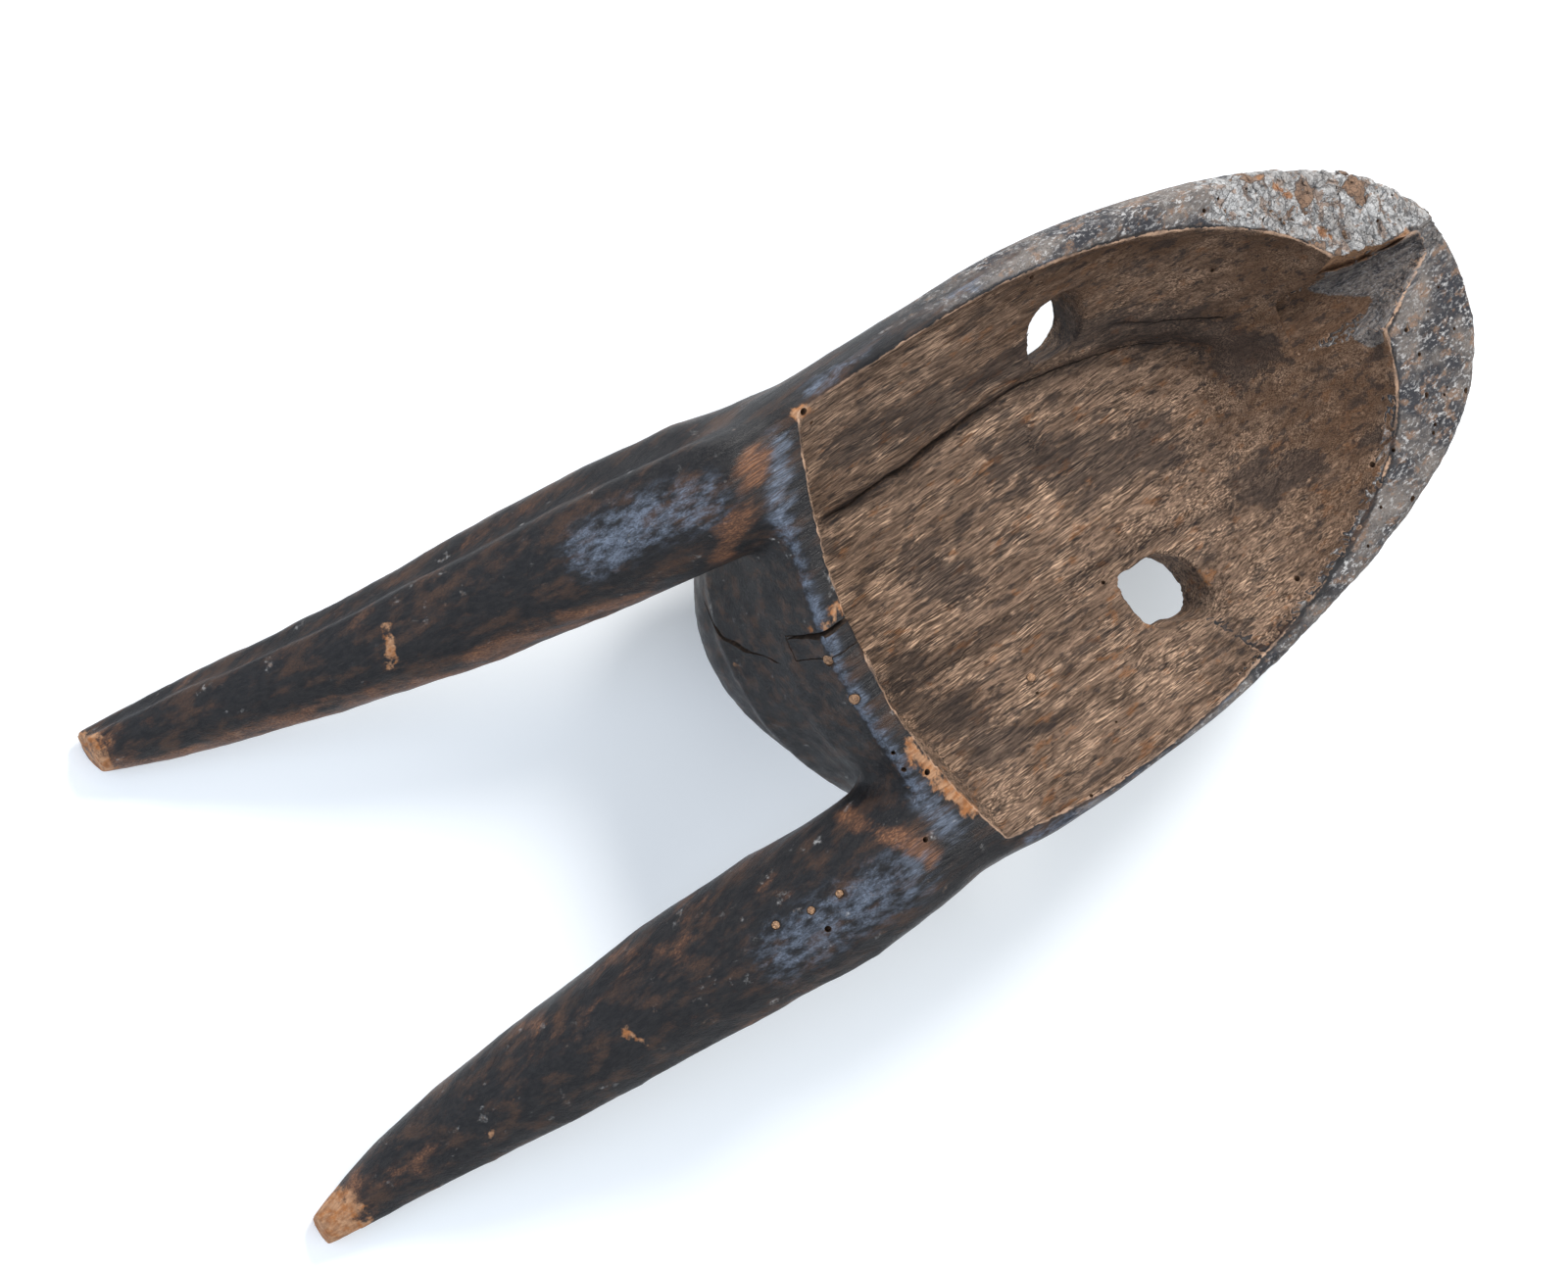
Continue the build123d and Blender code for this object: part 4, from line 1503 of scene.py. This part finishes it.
def crusted_wood(tree, place, large, small):
    """The pale crust: plates of chalk, tan where a plate has gone, dark in the cracks."""
    colour = tint(tree, fade(tree, noise_of(tree, place, 0.5, 5.0, 0.7), 0.36, 0.62), CRUST_MID, CRUST_PALE)
    colour = tint(tree, fade(tree, large["Plate"], 0.82, 0.88), colour, CRUST_TAN)
    chip = blotch(tree, place, Size=5.0, Low=0.52, High=0.59, Seed=42.0)
    colour = tint(tree, times(tree, chip, 0.75), colour, CRUST_TAN)
    veil = blotch(tree, place, Size=14.0, Stretch=1.6, Low=0.44, High=0.62, Seed=44.0)
    colour = tint(tree, times(tree, veil, 0.4), colour, GREY_MID)
    net = larger(tree, large["Mask"], times(tree, small["Mask"], 0.6))
    return tint(tree, times(tree, net, 0.62), colour, GREY_DARK)


CARVED_BUMP, CARVED_SHINE = 0.42, 0.25
PLAIN_SHINE = 0.4


def paint_carved(material):
    """Raw wood, patina, grey chin, crust, bare spots and worn rim, one over the other."""
    material.use_nodes = True
    tree = material.node_tree
    place = place_in_mm(tree)
    gap, crease_shade, bare = (mark_of(tree, name) for name in ("rim_gap", "crease_shade", "bare"))
    grey, crust, notch = (mark_of(tree, name) for name in ("grey", "crust", "notch"))
    fine = use(tree, "grain", Place=place, Width=0.42, Length=11.0, Wander=0.2)
    broad = use(tree, "grain", Place=place, Width=1.6, Length=30.0, Seed=31.0)
    speck = noise_of(tree, place, 1.1, 3.0, 0.7)
    large = use(tree, "craze", Place=place, Size=10.0, Width=0.28, Seed=71.0)
    small = use(tree, "craze", Place=place, Size=4.0, Width=0.16, Seed=74.0)

    raw = raw_wood(tree, place, fine, broad)
    outer = handled_wood(tree, place, fine, broad)
    dry_push = times(tree, grey, 0.55)
    dried = blotch(tree, place, Size=8.0, Stretch=2.0, Low=0.72, High=1.02, Push=dry_push, Seed=36.0)
    outer = tint(tree, dried, outer, dry_wood(tree, place, speck))
    crust_push = times(tree, crust, 0.5)
    crusted = blotch(tree, place, Size=6.0, Stretch=1.5, Low=0.62, High=0.80, Push=crust_push, Seed=45.0)
    outer = tint(tree, crusted, outer, crusted_wood(tree, place, large, small))

    ragged = times(tree, minus(tree, speck, 0.5), 1.8)
    within = fade(tree, plus(tree, gap, ragged), -0.3, 0.4)
    colour = tint(tree, within, outer, raw)
    face = tint(tree, broad["Fibre"], GREY_DARK, GREY_MID)
    face = tint(tree, times(tree, fade(tree, fine["Fibre"], 0.6, 1.0), 0.4), face, GREY_PALE)
    notch = fade(tree, plus(tree, notch, times(tree, ragged, 0.3)), 0.38, 0.62)
    colour = tint(tree, times(tree, notch, 0.9), colour, face)
    coarse = minus(tree, noise_of(tree, place, 0.22, 5.0, 0.65), 0.5)
    bare_edge = plus(tree, times(tree, bare, 0.8), times(tree, coarse, 1.7))
    bared = times(tree, fade(tree, bare_edge, 0.3, 0.62), fade(tree, bare, 0.02, 0.3))
    tan_share = blotch(tree, place, Size=4.0, Low=0.42, High=0.62, Seed=48.0)
    tan = tint(tree, tan_share, TAN, TAN_ORANGE)
    tan = tint(tree, times(tree, broad["Fibre"], 0.5), tan, RUBBED)
    colour = tint(tree, times(tree, bared, 0.92), colour, tan)
    worn = use(tree, "wear", Place=place, Gap=plus(tree, gap, 0.25), Width=0.7, Ragged=1.1, Seed=51.0)["Mask"]
    patchy = blotch(tree, place, Size=12.0, Low=0.38, High=0.62, Seed=53.0)
    worn = times(tree, worn, plus(tree, 0.2, times(tree, patchy, 0.65)))
    colour = tint(tree, worn, colour, PALE_EDGE)
    # Painted shade: near-black laid into the creases, the cracks and the -X eye hole, broken up by speckle.
    shade_breakup = plus(tree, 0.45, times(tree, speck, 0.7))
    colour = tint(tree, times(tree, crease_shade, shade_breakup), colour, PATINA_DARK)

    out_share = minus(tree, 1.0, within)
    dull = larger(tree, within, larger(tree, dried, bared))
    roughness = plus(tree, 0.40, times(tree, dull, 0.38))
    roughness = plus(tree, roughness, times(tree, minus(tree, broad["Band"], 0.5), 0.2))
    depth = plus(tree, 0.3, times(tree, within, 0.9))
    height = times(tree, plus(tree, fine["Fibre"], times(tree, broad["Fibre"], 0.9)), depth)
    grit = plus(tree, times(tree, dried, 1.6), 0.35)
    height = plus(tree, height, times(tree, speck, grit))
    net = larger(tree, large["Mask"], times(tree, small["Mask"], 0.6))
    net = times(tree, net, times(tree, crusted, out_share))
    height = minus(tree, height, times(tree, net, 1.8))
    finish_shader(material, colour, roughness, height, CARVED_BUMP, CARVED_SHINE)


paint_carved(carved)
print("carved wood painted with", len(carved.node_tree.nodes), "nodes")

# %% [markdown]
# Pegs, crack walls, the fresh tear in the chin and the walls of holes are bare wood of different
# age. They share one recipe, and only its colours and its grain change.

# %% The smaller materials


def paint_plain(material, dark, light, width, roughness, depth, seed):
    """Bare wood: two colours mixed by the shared grain, with blotches of dirt."""
    material.use_nodes = True
    tree = material.node_tree
    place = place_in_mm(tree)
    grain = use(tree, "grain", Place=place, Width=width, Length=width * 8, Seed=seed)
    colour = tint(tree, grain["Fibre"], dark, light)
    dirt = blotch(tree, place, Size=2.5, Low=0.5, High=0.66, Seed=seed)
    colour = tint(tree, times(tree, dirt, 0.6), colour, dark)
    dull = plus(tree, roughness, times(tree, grain["Band"], 0.1))
    finish_shader(material, colour, dull, grain["Height"], depth, PLAIN_SHINE)


pegs = bpy.data.materials.new("peg wood")
# Material, dark and light colour, fibre width in mm, roughness, bump depth in mm, seed.
PLAIN_WOODS = (
    (pegs, (0.11, 0.055, 0.030), (0.50, 0.29, 0.16), 0.35, 0.62, 0.2, 5.0),
    (torn, (0.010, 0.007, 0.005), (0.075, 0.042, 0.025), 0.4, 0.85, 0.4, 7.0),
    (fresh, (0.050, 0.028, 0.017), (0.42, 0.225, 0.115), 0.4, 0.8, 0.5, 8.0),
    (bored, (0.020, 0.012, 0.008), (0.17, 0.085, 0.040), 0.3, 0.9, 0.2, 9.0),
)
for wood in PLAIN_WOODS:
    paint_plain(*wood)
print("plain woods painted:", [wood[0].name for wood in PLAIN_WOODS])

# %% [markdown]
# ## Handing the pieces over
# Crack walls and hole rims stay crisp: an edge sharper than a given angle is marked, and all other
# faces shade smoothly. Then each piece says which CAD nodes it stands for and rides on the body.

# %% Name, mark and hand over
SHARP_EDGE = math.radians(48)


def hand_over(piece, node):
    """Final shading and the frame's own calls for one piece."""
    piece.name = piece.data.name = node + "_look"
    piece.data.polygons.foreach_set("use_smooth", [True] * len(piece.data.polygons))
    piece.data.set_sharp_from_angle(angle=SHARP_EDGE)
    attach(piece, "root")
    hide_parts(node)
    print(piece.name, sum(len(face.vertices) - 2 for face in piece.data.polygons), "triangles")


hand_over(body, "carved_body")
hand_over(loose, "rim_block")
for node, piece in plug_pieces.items():
    piece.data.materials.append(pegs)
    hand_over(piece, node)
